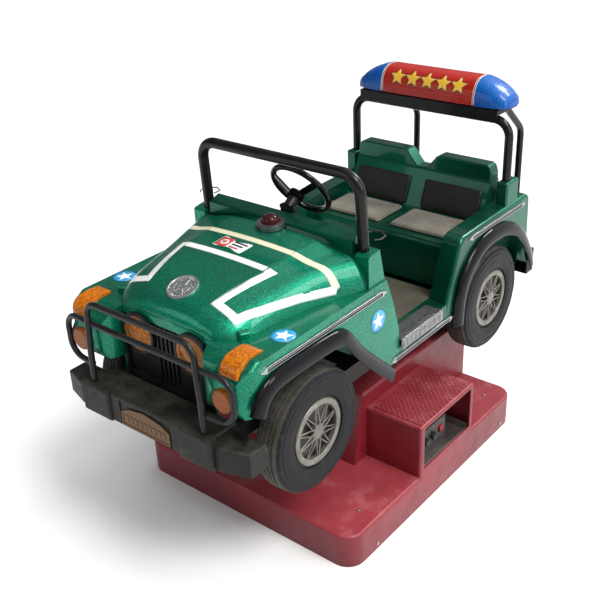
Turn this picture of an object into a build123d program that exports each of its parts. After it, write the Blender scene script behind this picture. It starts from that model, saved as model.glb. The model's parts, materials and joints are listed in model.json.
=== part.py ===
from build123d import *
import math
import os

os.makedirs("parts", exist_ok=True)

# ---------------------------------------------------------------- driving sizes (mm, +Z up, vehicle front at -Y)
base_half_w, base_half_l = 476, 542
slab_h, base_corner, wall = 126, 67, 6
step_x0, step_y0, step_y1, step_top = 250, -142, 213, 332
ped_y0, ped_top, ped_lean = -232, 395, 70
side_x = 373                       # outer plane of the body sides
fender_z, rail_z, sill_z, floor_z = 888, 858, 640, 634
skin = 5
wheel_r, wheel_w, wheel_z = 200, 96, 534
wheel_out = 388
front_axle_y, rear_axle_y = -571, 480
axle_r, run_fit = 10, 0.05
pivot_y, pivot_z, pivot_r = 0, 430, 15
crank_y, crank_z, crank_throw = 300, 236, 26
roller_r, slot_gap = 18, 2
screw_head_r = 4.5
post_x, post_y, post_z = 325, -250, 1000
screen_top_x, screen_top_y, screen_top_z, screen_r = 321, -267, 1236, 18
hoop_x, hoop_y, hoop_z, hoop_r = 339, 630, 1171, 16
stay_x, stay_y = 239, 925
lens_l, lens_z0, lens_z1 = 336, 1213, 1309
wheel_dish_c = (0, -150, 1095)
steer_tilt = 58


def box(x0, x1, y0, y1, z0, z1):
    return Pos((x0 + x1) / 2, (y0 + y1) / 2, (z0 + z1) / 2) * Box(abs(x1 - x0), abs(y1 - y0), abs(z1 - z0))


def cyl(axis, c, r, h):
    turn = {"x": Rot(0, 90, 0), "y": Rot(90, 0, 0), "z": Rot(0, 0, 0)}[axis]
    return Pos(*c) * turn * Cylinder(r, h)


def soft(shape, r, pick):
    edges = pick(shape.edges())
    try:
        return fillet(edges, r)
    except Exception:
        return shape


def both(shape):
    return shape + mirror(shape, about=Plane.YZ)


def joined(shapes):
    out = shapes[0]
    for s in shapes[1:]:
        out = out + s
    return out


def side_profile(points, x0, x1, corner=0):
    """Flat outline of (y, z) points carried from x0 to x1."""
    line = FilletPolyline(*[(y, z) for y, z in points], radius=corner, close=True) if corner \
        else Polyline(*[(y, z) for y, z in points], close=True)
    face = make_face(line)
    plane = Plane(origin=(x0, 0, 0), x_dir=(0, 1, 0), z_dir=(1, 0, 0))
    return extrude(plane * face, x1 - x0)


def plan_profile(points, z0, z1, corner=0):
    line = FilletPolyline(*points, radius=corner, close=True) if corner else Polyline(*points, close=True)
    return extrude(Plane.XY.offset(z0) * make_face(line), z1 - z0)


def front_profile(points, y0, y1, corner=0):
    line = FilletPolyline(*points, radius=corner, close=True) if corner else Polyline(*points, close=True)
    plane = Plane(origin=(0, y0, 0), x_dir=(1, 0, 0), z_dir=(0, -1, 0))
    return extrude(plane * make_face(line), y0 - y1)


def tube(points, bend, r, bore=0):
    path = FilletPolyline(*points, radius=bend) if bend else Polyline(*points)
    ring = Circle(r) - Circle(bore) if bore else Circle(r)
    return sweep(Plane(origin=path @ 0, z_dir=path % 0) * ring, path=path)


def band(points, half, x0, x1, corner):
    """Strip of constant width following (y, z) points."""
    left, right = [], []
    n = len(points)
    for i in range(n):
        y, z = points[i]
        dirs = []
        if i > 0:
            dirs.append((y - points[i - 1][0], z - points[i - 1][1]))
        if i < n - 1:
            dirs.append((points[i + 1][0] - y, points[i + 1][1] - z))
        normals = [(-b / math.hypot(a, b), a / math.hypot(a, b)) for a, b in dirs]
        nx, nz = sum(v[0] for v in normals), sum(v[1] for v in normals)
        size = math.hypot(nx, nz)
        nx, nz = nx / size, nz / size
        reach = half / (nx * normals[0][0] + nz * normals[0][1])
        left.append((y + nx * reach, z + nz * reach))
        right.append((y - nx * reach, z - nz * reach))
    outline = left + right[::-1]
    return side_profile(outline, x0, x1, corner)


def screw_along(axis, c, sign, head_r=screw_head_r, shank_r=2.5, length=14):
    """Pan-head screw; c is the point where the head meets the surface, sign points out of it."""
    v = {"x": (1, 0, 0), "y": (0, 1, 0), "z": (0, 0, 1)}[axis]
    out = [k * sign for k in v]
    head = Plane(origin=c, z_dir=out) * Pos(0, 0, 1.5) * Cylinder(head_r, 3)
    head = soft(head, 1.2, lambda e: e)
    shank = Plane(origin=c, z_dir=out) * Pos(0, 0, -length / 2) * Cylinder(shank_r, length)
    slot = Plane(origin=c, z_dir=out) * Pos(0, 0, 3) * Box(head_r * 3, 1.2, 1.6)
    return (head + shank) - slot


def save(name, shape):
    shape.label = name
    export_step(shape, f"parts/{name}.step")
    print(name, len(shape.solids()), [round(v) for v in (*shape.bounding_box().min, *shape.bounding_box().max)])


# ================================================================ base
def base_block(inset, z0, drop):
    slab = Pos(0, 0, z0) * extrude(
        RectangleRounded(2 * (base_half_w - inset), 2 * (base_half_l - inset), base_corner - inset),
        slab_h - drop - z0)
    slab = soft(slab, 11 if not inset else 6, lambda e: e.group_by(Axis.Z)[-1])
    steps = []
    for s in (-1, 1):
        step = box(s * step_x0 - s * 30, s * (base_half_w - inset), step_y0 + inset, step_y1 - inset,
                   slab_h - 60, step_top - drop)
        step = soft(step, 9 if not inset else 4, lambda e: e.filter_by(Axis.Z).group_by(Axis.Y)[0]
                    + e.filter_by(Axis.Z).group_by(Axis.Y)[-1] + e.group_by(Axis.Z)[-1])
        steps.append(step)
    ped = side_profile([(ped_y0 + inset, slab_h - 60), (ped_y0 + ped_lean + inset, ped_top - drop),
                        (base_half_l - 8 - inset, ped_top - drop), (base_half_l - 8 - inset, slab_h - 60)],
                       -step_x0 + inset, step_x0 - inset, 0)
    ped = soft(ped, 14 if not inset else 8, lambda e: e.filter_by(Axis.Y).group_by(Axis.Z)[-1]
               + e.filter_by(Axis.X).group_by(Axis.Z)[-1])
    return slab + steps[0] + steps[1] + ped


lug_slot = box(-168, 168, -74, 74, ped_top - 40, ped_top + 10)
yoke_slot = box(-46, 46, crank_y - 72, crank_y + 84, ped_top - 40, ped_top + 10)
service_hole = box(base_half_w - 30, base_half_w + 10, -119, 190, 150, 318)
service_hole = soft(service_hole, 8, lambda e: e.filter_by(Axis.X))
frame_screw_spots = [(y, z) for y in (-400, 440) for z in (22,)]
screw_holes = [cyl("x", (s * base_half_w, y, z), 2.6, 40) for s in (-1, 1) for y, z in frame_screw_spots]
top_screw_spots = [(s * 400, y) for s in (-1, 1) for y in (-400, 440)]
top_holes = [cyl("z", (x, y, slab_h), 2.6, 30) for x, y in top_screw_spots]
base_shell = base_block(0, 0, 0) - base_block(wall, -10, wall) - lug_slot - yoke_slot - service_hole
for hole in screw_holes + top_holes:
    base_shell = base_shell - hole
for s in (-1, 1):
    ribs = [Pos(s * 364, step_y0 + 22 + 16 * j, step_top + 0.6) * Box(196, 7, 1.4) for j in range(20)]
    base_shell = base_shell + ribs
save("base_shell", base_shell)

# welded steel frame inside the base
rail = 40
frame = []
for s in (-1, 1):
    frame.append(box(s * 130, s * 170, -440, 480, 0, rail) - box(s * 133, s * 167, -441, 481, 3, rail - 3))
    post = box(s * 112, s * 158, -28, 28, rail, 372) - box(s * 115, s * 155, -25, 25, rail + 3, 369)
    cap = box(s * 104, s * 164, -62, 62, 372, 380)
    frame.append(post + cap)
    frame.append(side_profile([(28, rail), (110, rail), (28, 240)], s * 132, s * 138))
    frame.append(side_profile([(-28, rail), (-110, rail), (-28, 240)], s * 132, s * 138))
for y in (-400, 0, 440):
    for a, b in ((-470, -170), (-130, 130), (170, 470)):
        if y == 0 and abs(a) + abs(b) > 300:
            continue
        frame.append(box(a, b, y - 20, y + 20, 0, rail) - box(a + 3, b - 3, y - 17, y + 17, 3, rail - 3))
for s in (-1, 1):
    for y in (-400, 440):
        frame.append(box(s * 385, s * 415, y - 15, y + 15, rail, slab_h - wall) -
                     box(s * 388, s * 412, y - 12, y + 12, rail, slab_h - wall - 3))
motor_seat_z = 150
for y in (crank_y - 70, crank_y + 70):
    frame.append(box(-236, -30, y - 12, y + 12, motor_seat_z - 8, motor_seat_z))
    for x in (-224, -150, -46):
        frame.append(box(x - 8, x + 8, y - 8, y + 8, rail if x == -150 else 3, motor_seat_z - 8))
    frame.append(box(-236, -170, y - 12, y + 12, 0, 6))
    frame.append(box(-130, -30, y - 12, y + 12, 0, 6))
base_frame = joined(frame)
for hole in screw_holes + top_holes:
    base_frame = base_frame - hole
bearing_bolts = [(s * 134, y) for s in (-1, 1) for y in (-46, 46)]
for x, y in bearing_bolts:
    base_frame = base_frame - cyl("z", (x, y, 376), 5.1, 30)
save("base_frame", base_frame)

screws = [screw_along("x", (s * base_half_w, y, z), s, 6, 2.5, 12) for s in (-1, 1) for y, z in frame_screw_spots]
screws += [screw_along("z", (x, y, slab_h), 1, 6, 2.5, 12) for x, y in top_screw_spots]
save("base_screws", Compound(children=screws))


# ================================================================ pivot bearings and shaft
def pillow(s):
    x = s * 134
    foot = box(x - 17, x + 17, -58, 58, 380, 394)
    foot = soft(foot, 5, lambda e: e.filter_by(Axis.Z))
    head = cyl("x", (x, pivot_y, pivot_z), 31, 34) + box(x - 17, x + 17, -26, 26, 392, pivot_z)
    body = (foot + head) - cyl("x", (x, pivot_y, pivot_z), pivot_r + run_fit, 40)
    for y in (-46, 46):
        body = body - cyl("z", (x, y, 386), 5.1, 30)
    nip = Pos(x, 0, pivot_z + 34) * Cylinder(3, 8)
    return body + nip


save("pivot_bearings", Compound(children=[pillow(-1), pillow(1)]))
bolts = []
for x, y in bearing_bolts:
    hexa = extrude(Plane.XY.offset(394) * RegularPolygon(8.5, 6), 6)
    bolts.append(Pos(x, y, 0) * hexa + cyl("z", (x, y, 381), 5, 26) +
                 Pos(x, y, 0) * extrude(Plane.XY.offset(364) * RegularPolygon(8.5, 6), 8))
save("bearing_bolts", Compound(children=bolts))
shaft = cyl("x", (0, pivot_y, pivot_z), pivot_r, 416)
save("pivot_shaft", soft(shaft, 1.5, lambda e: e.filter_by(GeomType.CIRCLE)))


# ================================================================ drive: motor, gearbox, crank, roller
gear_x0, gear_x1 = -126, -44
housing = box(gear_x0, gear_x1, crank_y - 62, crank_y + 62, motor_seat_z, 296)
housing = soft(housing, 12, lambda e: e.filter_by(Axis.X))
for y in (crank_y - 70, crank_y + 70):
    housing = housing + box(gear_x0 + 8, gear_x1 - 8, min(y, crank_y) - (0 if y > crank_y else 12),
                            max(y, crank_y) + (12 if y > crank_y else 0), motor_seat_z, motor_seat_z + 12)
for k in range(5):
    housing = housing + box(gear_x0 + 10 + 14 * k, gear_x0 + 14 + 14 * k, crank_y - 66, crank_y + 66, 180, 280)
housing = housing - cyl("x", (gear_x1, crank_y, crank_z), 12.5 + run_fit, 60)
housing = housing - cyl("x", (gear_x0, crank_y, crank_z), 30, 12)
save("gearbox_housing", housing)
cover = cyl("x", (gear_x1 + 3, crank_y, crank_z), 44, 6) - cyl("x", (gear_x1 + 3, crank_y, crank_z), 13.2, 20)
for k in range(6):
    a = math.radians(60 * k)
    cover = cover + cyl("x", (gear_x1 + 7.5, crank_y + 36 * math.cos(a), crank_z + 36 * math.sin(a)), 3.5, 3)
save("gearbox_cover", cover)
motor = cyl("x", (gear_x0 - 52, crank_y, crank_z), 54, 104)
motor = soft(motor, 6, lambda e: e.filter_by(GeomType.CIRCLE).group_by(Axis.X)[0])
for k in range(20):
    a = 2 * math.pi * k / 20
    fin = Pos(gear_x0 - 46, crank_y, crank_z) * Rot(math.degrees(a), 0, 0) * Pos(0, 0, 56) * Box(78, 3, 7)
    motor = motor + fin
motor = motor + box(gear_x0 - 80, gear_x0 - 25, crank_y - 28, crank_y + 28, crank_z + 50, crank_z + 80)
motor = motor + cyl("x", (gear_x0 + 2.9, crank_y, crank_z), 29.7, 5.8)
save("motor", motor)
crank = cyl("x", (-22, crank_y, crank_z), 46, 14)
crank = soft(crank, 2, lambda e: e.filter_by(GeomType.CIRCLE))
crank = crank + cyl("x", (-46, crank_y, crank_z), 12.5, 50)
crank = crank + cyl("x", (0, crank_y + crank_throw, crank_z), 8, 32)
crank = crank + cyl("x", (-22, crank_y, crank_z), 20, 20)
roller = cyl("x", (0, crank_y + crank_throw, crank_z), roller_r, 24)
roller = roller - cyl("x", (0, crank_y + crank_throw, crank_z), 8 + run_fit, 30)
save("crank_roller", roller)
clip = cyl("x", (14.6, crank_y + crank_throw, crank_z), 12, 2) - cyl("x", (14.6, crank_y + crank_throw, crank_z), 8, 4)
save("crank_disc", Compound(children=[crank, clip]))

# ================================================================ rocking chassis
ch_z0, ch_z1 = 470, 536
chassis = []
for s in (-1, 1):
    chassis.append(box(s * 195, s * 245, -640, 690, ch_z0, ch_z1) - box(s * 199, s * 241, -641, 691, ch_z0 + 4, ch_z1 - 4))
    lug = side_profile([(-60, ch_z0), (60, ch_z0), (26, pivot_z), (-26, pivot_z)], s * 186, s * 200)
    lug = lug + cyl("x", (s * 193, pivot_y, pivot_z), 27, 14)
    chassis.append(lug + box(s * 186, s * 200, -60, 60, ch_z0, ch_z0 + 30))
for y in (-560, -200, 200, 560):
    chassis.append(box(-195, 195, y - 25, y + 25, ch_z0 + 8, ch_z1 - 6) - box(-195, 195, y - 21, y + 21, ch_z0 + 12, ch_z1 - 10))
for x in (-110, 110):
    chassis.append(box(x - 15, x + 15, 225, 535, ch_z0 + 8, ch_z0 + 48) - box(x - 12, x + 12, 225, 535, ch_z0 + 11, ch_z0 + 45))
chassis.append(box(-95, 95, crank_y - 60, crank_y + 70, ch_z0 + 8, ch_z0 + 20))
for s in (-1, 1):
    chassis.append(box(s * 245, s * 300, -20, 20, ch_z0 + 10, ch_z0 + 50))
    for y in (front_axle_y, rear_axle_y):
        chassis.append(box(s * 200, s * 240, y - 24, y + 24, ch_z1, wheel_z + 26))
chassis = joined(chassis)
chassis = chassis - cyl("x", (0, pivot_y, pivot_z), pivot_r, 500)
for y in (front_axle_y, rear_axle_y):
    chassis = chassis - cyl("x", (0, y, wheel_z), 16, 500)
save("rocker_chassis", chassis)
yoke = box(-11, 11, crank_y - 52, crank_y + 64, crank_z - roller_r - slot_gap - 16, ch_z0 + 8)
yoke = soft(yoke, 9, lambda e: e.filter_by(Axis.X).group_by(Axis.Z)[0])
slot_h = 2 * (roller_r + slot_gap)
slot = box(-20, 20, crank_y - 36, crank_y + 50, crank_z - slot_h / 2, crank_z + slot_h / 2)
yoke = yoke - slot
yoke = yoke - box(-20, 20, crank_y - 20, crank_y + 34, crank_z + slot_h / 2 + 24, ch_z0 - 40)
yoke = yoke + box(-30, 30, crank_y - 52, crank_y + 64, ch_z0 - 4, ch_z0 + 8)
save("drive_yoke", yoke)

axles = []
for y in (front_axle_y, rear_axle_y):
    bar = cyl("x", (0, y, wheel_z), 16, 490) - cyl("x", (0, y, wheel_z), 12, 480)
    for s in (-1, 1):
        bar = bar + cyl("x", (s * 297, y, wheel_z), axle_r, 118) + cyl("x", (s * 250, y, wheel_z), 16, 24)
    axles.append(bar)
save("axles", Compound(children=axles))


# ================================================================ wheels
tyre_in = wheel_out - wheel_w
rim_r = 116


def spin(points, y, s):
    """Turn an (x, radius) outline about the axle line."""
    face = make_face(Plane.XY * FilletPolyline(*points, radius=3, close=True))
    ring = revolve(face, Axis.X, 360)
    if s < 0:
        ring = mirror(ring, about=Plane.YZ)
    return Pos(0, y, wheel_z) * ring


def tyre(y, s):
    a, b = tyre_in, wheel_out
    pts = [(a + 10, rim_r), (a, rim_r + 26), (a + 3, wheel_r - 22), (a + 14, wheel_r - 5), (a + 30, wheel_r),
           (b - 30, wheel_r), (b - 14, wheel_r - 5), (b - 3, wheel_r - 22), (b, rim_r + 26), (b - 10, rim_r)]
    body = spin(pts, y, s)
    for g in (-14, 14):
        x = (a + b) / 2 + g
        body = body - Pos(0, y, wheel_z) * Rot(0, 90, 0) * Pos(0, 0, s * x) * (
            Cylinder(wheel_r + 6, 5) - Cylinder(wheel_r - 5, 5))
    return body


def wheel(y, s):
    a, b = tyre_in, wheel_out
    rim = Pos(0, y, wheel_z) * Rot(0, 90, 0) * Pos(0, 0, s * (a + b) / 2) * (
        Cylinder(rim_r - 0.3, wheel_w - 22) - Cylinder(rim_r - 6, wheel_w - 22))
    disc = cyl("x", (s * (b - 44), y, wheel_z), rim_r - 3, 6)
    hub = cyl("x", (s * (b - 54.25), y, wheel_z), 26, 49.5)
    return (rim + disc + hub) - cyl("x", (s * 330, y, wheel_z), axle_r + run_fit, 200)


def hubcap(y, s):
    """Wire-spoke cover: rolled rim ring, shallow dish, crossed wires and a domed centre."""
    b = wheel_out
    ring_out, ring_in, hub_r = rim_r - 7, 88, 24
    ring = Pos(0, y, wheel_z) * Rot(0, 90, 0) * Pos(0, 0, s * (b - 11)) * (Cylinder(ring_out, 12) - Cylinder(ring_in, 12))
    ring = soft(ring, 4, lambda e: e.filter_by(GeomType.CIRCLE))
    dish = Pos(0, y, wheel_z) * Rot(0, 90, 0) * Pos(0, 0, s * (b - 28)) * Cylinder(92, 3)
    skirt = Pos(0, y, wheel_z) * Rot(0, 90, 0) * Pos(0, 0, s * (b - 21)) * (Cylinder(92, 16) - Cylinder(ring_in, 16))
    cap = cyl("x", (s * (b - 17), y, wheel_z), hub_r, 24)
    cap = soft(cap, 5, lambda e: e.filter_by(GeomType.CIRCLE))
    out = ring + dish + skirt + cap
    for k in range(10):
        for lean in (-16, 16):
            a0, a1 = math.radians(36 * k + lean), math.radians(36 * k - lean)
            p0 = (s * (b - 8), y + 20 * math.cos(a0), wheel_z + 20 * math.sin(a0))
            p1 = (s * (b - 12), y + 91 * math.cos(a1), wheel_z + 91 * math.sin(a1))
            line = Line(p0, p1)
            out = out + sweep(Plane(origin=p0, z_dir=line % 0) * Circle(2.2), path=line)
    return out


wheel_spots = {"front_left": (front_axle_y, 1), "front_right": (front_axle_y, -1),
               "rear_left": (rear_axle_y, 1), "rear_right": (rear_axle_y, -1)}
for where, (wy, ws) in wheel_spots.items():
    save(f"tyre_{where}", tyre(wy, ws))
    save(f"wheel_{where}", wheel(wy, ws))
    save(f"hubcap_{where}", hubcap(wy, ws))


# ================================================================ body: bonnet, wings and scuttle
# station: y, centre z, crease x, crease z, shoulder x, shoulder z, foot x, foot z
hood_line = [
    (-792, 900, 80, 898, 150, 889, 188, 872),
    (-783, 921, 92, 918, 162, 905, 202, 874),
    (-764, 941, 106, 938, 180, 920, 224, 877),
    (-734, 957, 122, 954, 198, 933, 246, 879),
    (-696, 969, 136, 966, 214, 942, 259, 880),
    (-620, 985, 152, 982, 232, 953, 271, 880),
    (-530, 999, 164, 994, 250, 962, 286, 880),
    (-430, 1009, 171, 1003, 276, 970, 309, 881),
    (-350, 1014, 176, 1007, 302, 973, 338, 883),
    (-292, 1016, 180, 1008, 325, 972, 362, 886),
]


def hood_solid(cut, low, stations):
    sections = []
    for y, z0, xc, zc, xs, zs, xj, zj in stations:
        k = (xj - cut) / xj
        pc, ps, pj = (xc * k, zc - cut), (xs * k, zs - cut * 1.1), (xj - cut, zj)
        plane = Plane(origin=(0, y, 0), x_dir=(1, 0, 0), z_dir=(0, -1, 0))
        side = [pc, ((pc[0] + ps[0]) / 2, (pc[1] + ps[1]) / 2 + 1.2), ps,
                (ps[0] + (pj[0] - ps[0]) * 0.62, ps[1] - (ps[1] - pj[1]) * 0.42), pj]
        lines = [Spline(*side), Line(pj, (pj[0], low)), Line((pj[0], low), (-pj[0], low)),
                 Line((-pj[0], low), (-pj[0], pj[1])), Spline(*[(-a, b) for a, b in side[::-1]]),
                 ThreePointArc((-pc[0], pc[1]), (0, z0 - cut), pc)]
        sections.append(plane * make_face(Wire(lines)))
    return loft(sections, ruled=True)


hood = hood_solid(0, 868, hood_line) - hood_solid(skin, 840, hood_line)
hood = hood + (hood_solid(0, 868, hood_line[:2]) & box(-300, 300, -800, -786, 868, 960))

wing_out = [(-850, 722), (-874, 772), (-866, 826), (-842, 864), (-804, fender_z), (-200, fender_z), (-162, 790),
            (-132, 692), (-126, 638), (-126, 562), (-800, 562), (-800, 722)]
arch_front = [(-832, 560), (-832, 740), (-796, 788), (-768, 806), (-470, 808), (-424, 786), (-352, 692),
              (-268, 606), (-196, 540), (-196, 500), (-832, 500)]


def wing(s):
    outer = side_profile(wing_out, 188, side_x)
    outer = soft(outer, 16, lambda e: e.filter_by(lambda k: k.center().X > side_x - 1 and k.center().Z > 730
                                                  and k.center().Y < -560))
    inner = side_profile([(-845, 640), (-845, 722), (-869, 772), (-861, 824), (-838, 860), (-802, fender_z - skin),
                          (-205, fender_z - skin), (-167, 790), (-137, 692), (-131, 638), (-131, 567), (-795, 540)],
                         193, side_x - skin) + box(180, 200, -797, -120, 500, fender_z - skin)
    corner = plan_profile([(side_x + 1, -900), (side_x + 1, -790), (side_x - 3, -820), (side_x - 18, -848),
                           (side_x - 46, -868), (side_x - 90, -880), (side_x - 90, -900)], 600, 900)
    corner_in = plan_profile([(side_x - 5, -900), (side_x - 5, -792), (side_x - 9, -818), (side_x - 22, -843),
                              (side_x - 49, -862), (side_x - 92, -874), (side_x - 92, -900)], 600, 900)
    nose = plan_profile([(187, -900), (187, -806), (192, -826), (204, -846), (222, -860), (246, -870), (246, -900)],
                        700, 900)
    nose_in = plan_profile([(180, -900), (192, -804), (197, -823), (208, -842), (225, -855), (248, -864), (248, -900)],
                           690, 900)
    shell = (outer - corner - nose) - (inner - corner_in - nose_in)
    shell = shell - side_profile(arch_front, 300, side_x + 10)
    shell = shell - box(180, side_x - 6, -795, -262, 500, 700) - box(180, 315.5, -287, -100, 500, 1000)
    lower = box(316, side_x, -216, -126, 562, 567)
    shell = shell + lower
    block = side_profile([(-287, fender_z - 8), (-287, 988), (-281, 994), (-229, 1001), (-200, fender_z - 8)],
                         316, side_x - 6)
    block = soft(block, 5, lambda e: e.filter_by(lambda k: k.center().X > side_x - 7 and k.length > 40))
    inner_wall = side_profile([(-262, 640), (-262, fender_z), (-200, fender_z), (-162, 790), (-132, 692), (-126, 640)],
                              316, 321)
    end_wall = side_profile([(-200, fender_z), (-162, 790), (-132, 692), (-126, 638), (-131, 638), (-137, 692),
                             (-167, 790), (-205, fender_z)], 318, side_x)
    out = shell + block + inner_wall + end_wall
    out = out - hood_solid(-0.4, 800, hood_line)
    foot, top = Vector(post_x, post_y + 0.5, 960), Vector(screen_top_x, screen_top_y, screen_top_z)
    out = out - tube([foot - (top - foot) * 0.04, top], 0, screen_r + 0.3)
    return out if s > 0 else mirror(out, about=Plane.YZ)


body_front = hood + wing(1) + wing(-1)
for s in (-1, 1):
    bump = scale(Rot(0, 0, s * 14) * Sphere(17), (1.3, 0.75, 0.35))
    body_front = body_front + Pos(s * 144, -335, 1006) * bump
    latch = Pos(s * 252, -725, 893) * Rot(0, 0, -s * 32) * Box(26, 34, 34)
    body_front = body_front + (soft(latch, 5, lambda e: e) - hood_solid(0.5, 800, hood_line))
lamp_holes = [(s * 297, 776) for s in (-1, 1)]
for x, z in lamp_holes:
    body_front = body_front - cyl("y", (x, -860, z), 38, 60)
signal_block = side_profile([(-880, 846), (-880, 910), (-744, 910), (-744, fender_z - 2.5), (-803, fender_z - 2.5),
                             (-840, 862), (-850.2, 846)], 276, 342)
for s in (-1, 1):
    block = signal_block if s > 0 else mirror(signal_block, about=Plane.YZ)
    body_front = body_front - block
    body_front = body_front - cyl("y", (s * 111, -760, 822), 60.3, 80)
save("body_front", body_front)

lens_out = [(-857, 846.5), (-859, 860), (-848, 880), (-826, 894), (-790, 898), (-752, 894), (-745, 889),
            (-744.5, fender_z - 2.5), (-803, fender_z - 2.5), (-840, 862), (-849.9, 846.5)]
lens = side_profile(lens_out, 276.5, 341.5)
lens = soft(lens, 4, lambda e: e.filter_by(lambda k: k.center().Z > 864 and k.center().Y < -746
                                           and (k.center().X < 277 or k.center().X > 341)))
lens = lens - plan_profile([(270, -740), (270, -762), (292, -740)], 800, 920)
save("turn_signal_lenses", Compound(children=[lens, mirror(lens, about=Plane.YZ)]))

lamps = []
for x, z in lamp_holes:
    face_y = -876
    lamp = cyl("y", (x, face_y + 13, z), 37.7, 36)
    lamp = soft(lamp, 7, lambda e: e.filter_by(GeomType.CIRCLE).group_by(Axis.Y)[0])
    lamps.append(lamp + cyl("y", (x, face_y + 31, z), 41, 6))
save("fender_lamps", Compound(children=lamps))

# scuttle rail, dash and screen feet
cowl = side_profile([(-277, 985), (-277, 1026), (-271, 1030), (-232, 1043), (-226, 1039), (-226, 985)], -298, 298)
cowl = cowl + box(-298, 298, -276, -226, 984, 990)
cowl = cowl + box(-314, 314, -234, -228, 880, 1000)
cowl = cowl + box(-314, 314, -286, -230, 884, 889)
cowl = cowl + box(-314, 314, -262, -257, floor_z, 886)
cowl = cowl - Pos(0, -306, 1012) * Cylinder(49, 90)
hood_clear = hood_solid(-0.4, 800, hood_line)
cowl = cowl - hood_clear
save("cowl", cowl)

beacon_base = Pos(0, -306, 1026) * Rot(3, 0, 0) * (Cylinder(47, 14) + Pos(0, 0, 7) * Cylinder(40, 6)
                                                    - Pos(0, 0, 8) * Cylinder(31.5, 16))
beacon_base = beacon_base - hood_clear
for k in range(4):
    a = math.radians(45 + 90 * k)
    beacon_base = beacon_base + Pos(0, -306, 1026) * Rot(3, 0, 0) * Pos(43 * math.cos(a), 43 * math.sin(a), 8) * \
        Cylinder(2.6, 2.4)
save("beacon_base", beacon_base)
dome = Pos(0, -306, 1026) * Rot(3, 0, 0) * (Pos(0, 0, 6) * Cylinder(31, 12) +
                                             scale(Sphere(27), (1, 1, 0.85)).moved(Pos(0, 0, 12)))
dome = dome & Pos(0, -306, 1026) * Rot(3, 0, 0) * Pos(0, 0, 30.1) * Box(80, 80, 60)
save("beacon_lens", dome)

# ================================================================ tub and seat
arch_rear = [(236, 500), (236, 560), (250, 650), (300, 722), (390, 776), (480, 790), (590, 774), (690, 716),
             (750, 640), (790, 560), (790, 500)]
quarter_out = [(160, 562), (160, 600), (190, 680), (246, 830), (262, 850), (284, rail_z), (744, rail_z + 6),
               (758, 846), (766, 700), (764, 562)]
quarter_in = [(165, 567), (165, 599), (195, 678), (251, 828), (266, 846), (286, rail_z - skin), (739, rail_z),
              (752, 842), (760, 700), (758, 567)]


def quarter(s):
    outer = side_profile(quarter_out, 300, side_x)
    outer = soft(outer, 14, lambda e: e.filter_by(lambda k: k.center().X > side_x - 1 and k.center().Z > 620
                                                  and k.center().Y < 740 and k.length > 15))
    shell = outer - side_profile(quarter_in, 305, side_x - skin)
    shell = shell - side_profile(arch_rear, 340, side_x + 10)
    arch_liner = [(513 + (y - 513) * 0.984, 500 + (z - 500) * 0.984) for y, z in arch_rear]
    roof = side_profile(arch_rear, 300, side_x - 1) - side_profile(arch_liner, 290, side_x + 10)
    shell = shell + (roof & box(290, side_x, 200, 800, 562, 800)) + box(300, 305, 240, 740, 562, 790)
    shell = shell + (cyl("x", (294, rear_axle_y, wheel_z), 216, 20) & box(280, 310, 200, 700, 562, 800))
    sill = box(312, side_x, -125.5, 170, 562, sill_z - 2) - box(317, side_x - skin, -126, 171, 567, sill_z - 7)
    out = shell + sill
    shoulder = box(318, side_x - 8, 592, 682, rail_z - 2, 950)
    shoulder = soft(shoulder, 9, lambda e: e.group_by(Axis.Z)[-1] + e.filter_by(Axis.Z))
    out = out + shoulder
    out = out - cyl("z", (hoop_x, hoop_y, 930), hoop_r + 0.3, 90)
    return out if s > 0 else mirror(out, about=Plane.YZ)


def wheel_well(x0):
    return both(cyl("x", ((x0 + 420) / 2, rear_axle_y, wheel_z), 212, 420 - x0))


floor_pan = box(-314, 314, -256, 240, floor_z, floor_z + 5)
floor_pan = floor_pan + box(-302, 302, 235, 766, floor_z - 30, floor_z - 25)
floor_pan = floor_pan + box(-302, 302, 235, 240, floor_z - 30, floor_z + 5)
rear_panel = box(-302, 302, 758, 764, floor_z - 30, rail_z + 4)
rear_panel = rear_panel + box(-302, 302, 654, 764, rail_z - 1, rail_z + 4)
tub = floor_pan + rear_panel + quarter(1) + quarter(-1)
for s in (-1, 1):
    tub = tub + box(s * 190, s * 314, -250, -200, floor_z - 30, floor_z) + box(s * 190, s * 280, 560, 640, ch_z1 + 0.5, floor_z - 28)
    tub = tub + box(s * 190, s * 280, 250, 330, ch_z1 + 0.5, floor_z - 28) + box(s * 190, s * 314, -150, 150, ch_z1 + 0.5, floor_z)
save("tub", tub - wheel_well(288))

seat_line = [(262, floor_z + 6), (272, 700), (286, 786), (296, 800), (318, 802), (512, 798), (526, 808),
             (580, 938), (590, 950), (638, 951), (646, 942), (652, rail_z + 5), (652, rail_z - 1.5), (640, floor_z - 24)]
seat_in = [(268, floor_z), (278, 700), (291, 783), (300, 795), (318, 796.5), (508, 792.5), (528, 801),
           (585, 937), (593, 945), (634, 945), (640, 938), (646, rail_z), (646, rail_z - 8), (634, floor_z - 30)]
seat = side_profile(seat_line, -299.3, 299.3) - side_profile(seat_in, -294, 294)
for s in (-1, 1):
    rest = front_profile([(s * 18, 948), (s * 62, 1000), (s * 76, 1007), (s * 276, 1007), (s * 290, 1000),
                          (s * 299, 975), (s * 299, 948)], 640, 588)
    hollow = front_profile([(s * 26, 940), (s * 68, 994), (s * 80, 1001), (s * 272, 1001), (s * 284, 996),
                            (s * 293, 974), (s * 293, 940)], 634, 594)
    rest = soft(rest, 6, lambda e: e.filter_by(lambda k: k.center().Z > 955 and abs(k.center().Y - 588) < 1))
    seat = seat + (rest - hollow) - box(s * 30, s * 290, 596, 632, 938, 953)
hatch_edge = box(-214, 214, 255, 285, 668, 780) - box(-210, 210, 250, 290, 672, 776)
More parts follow.
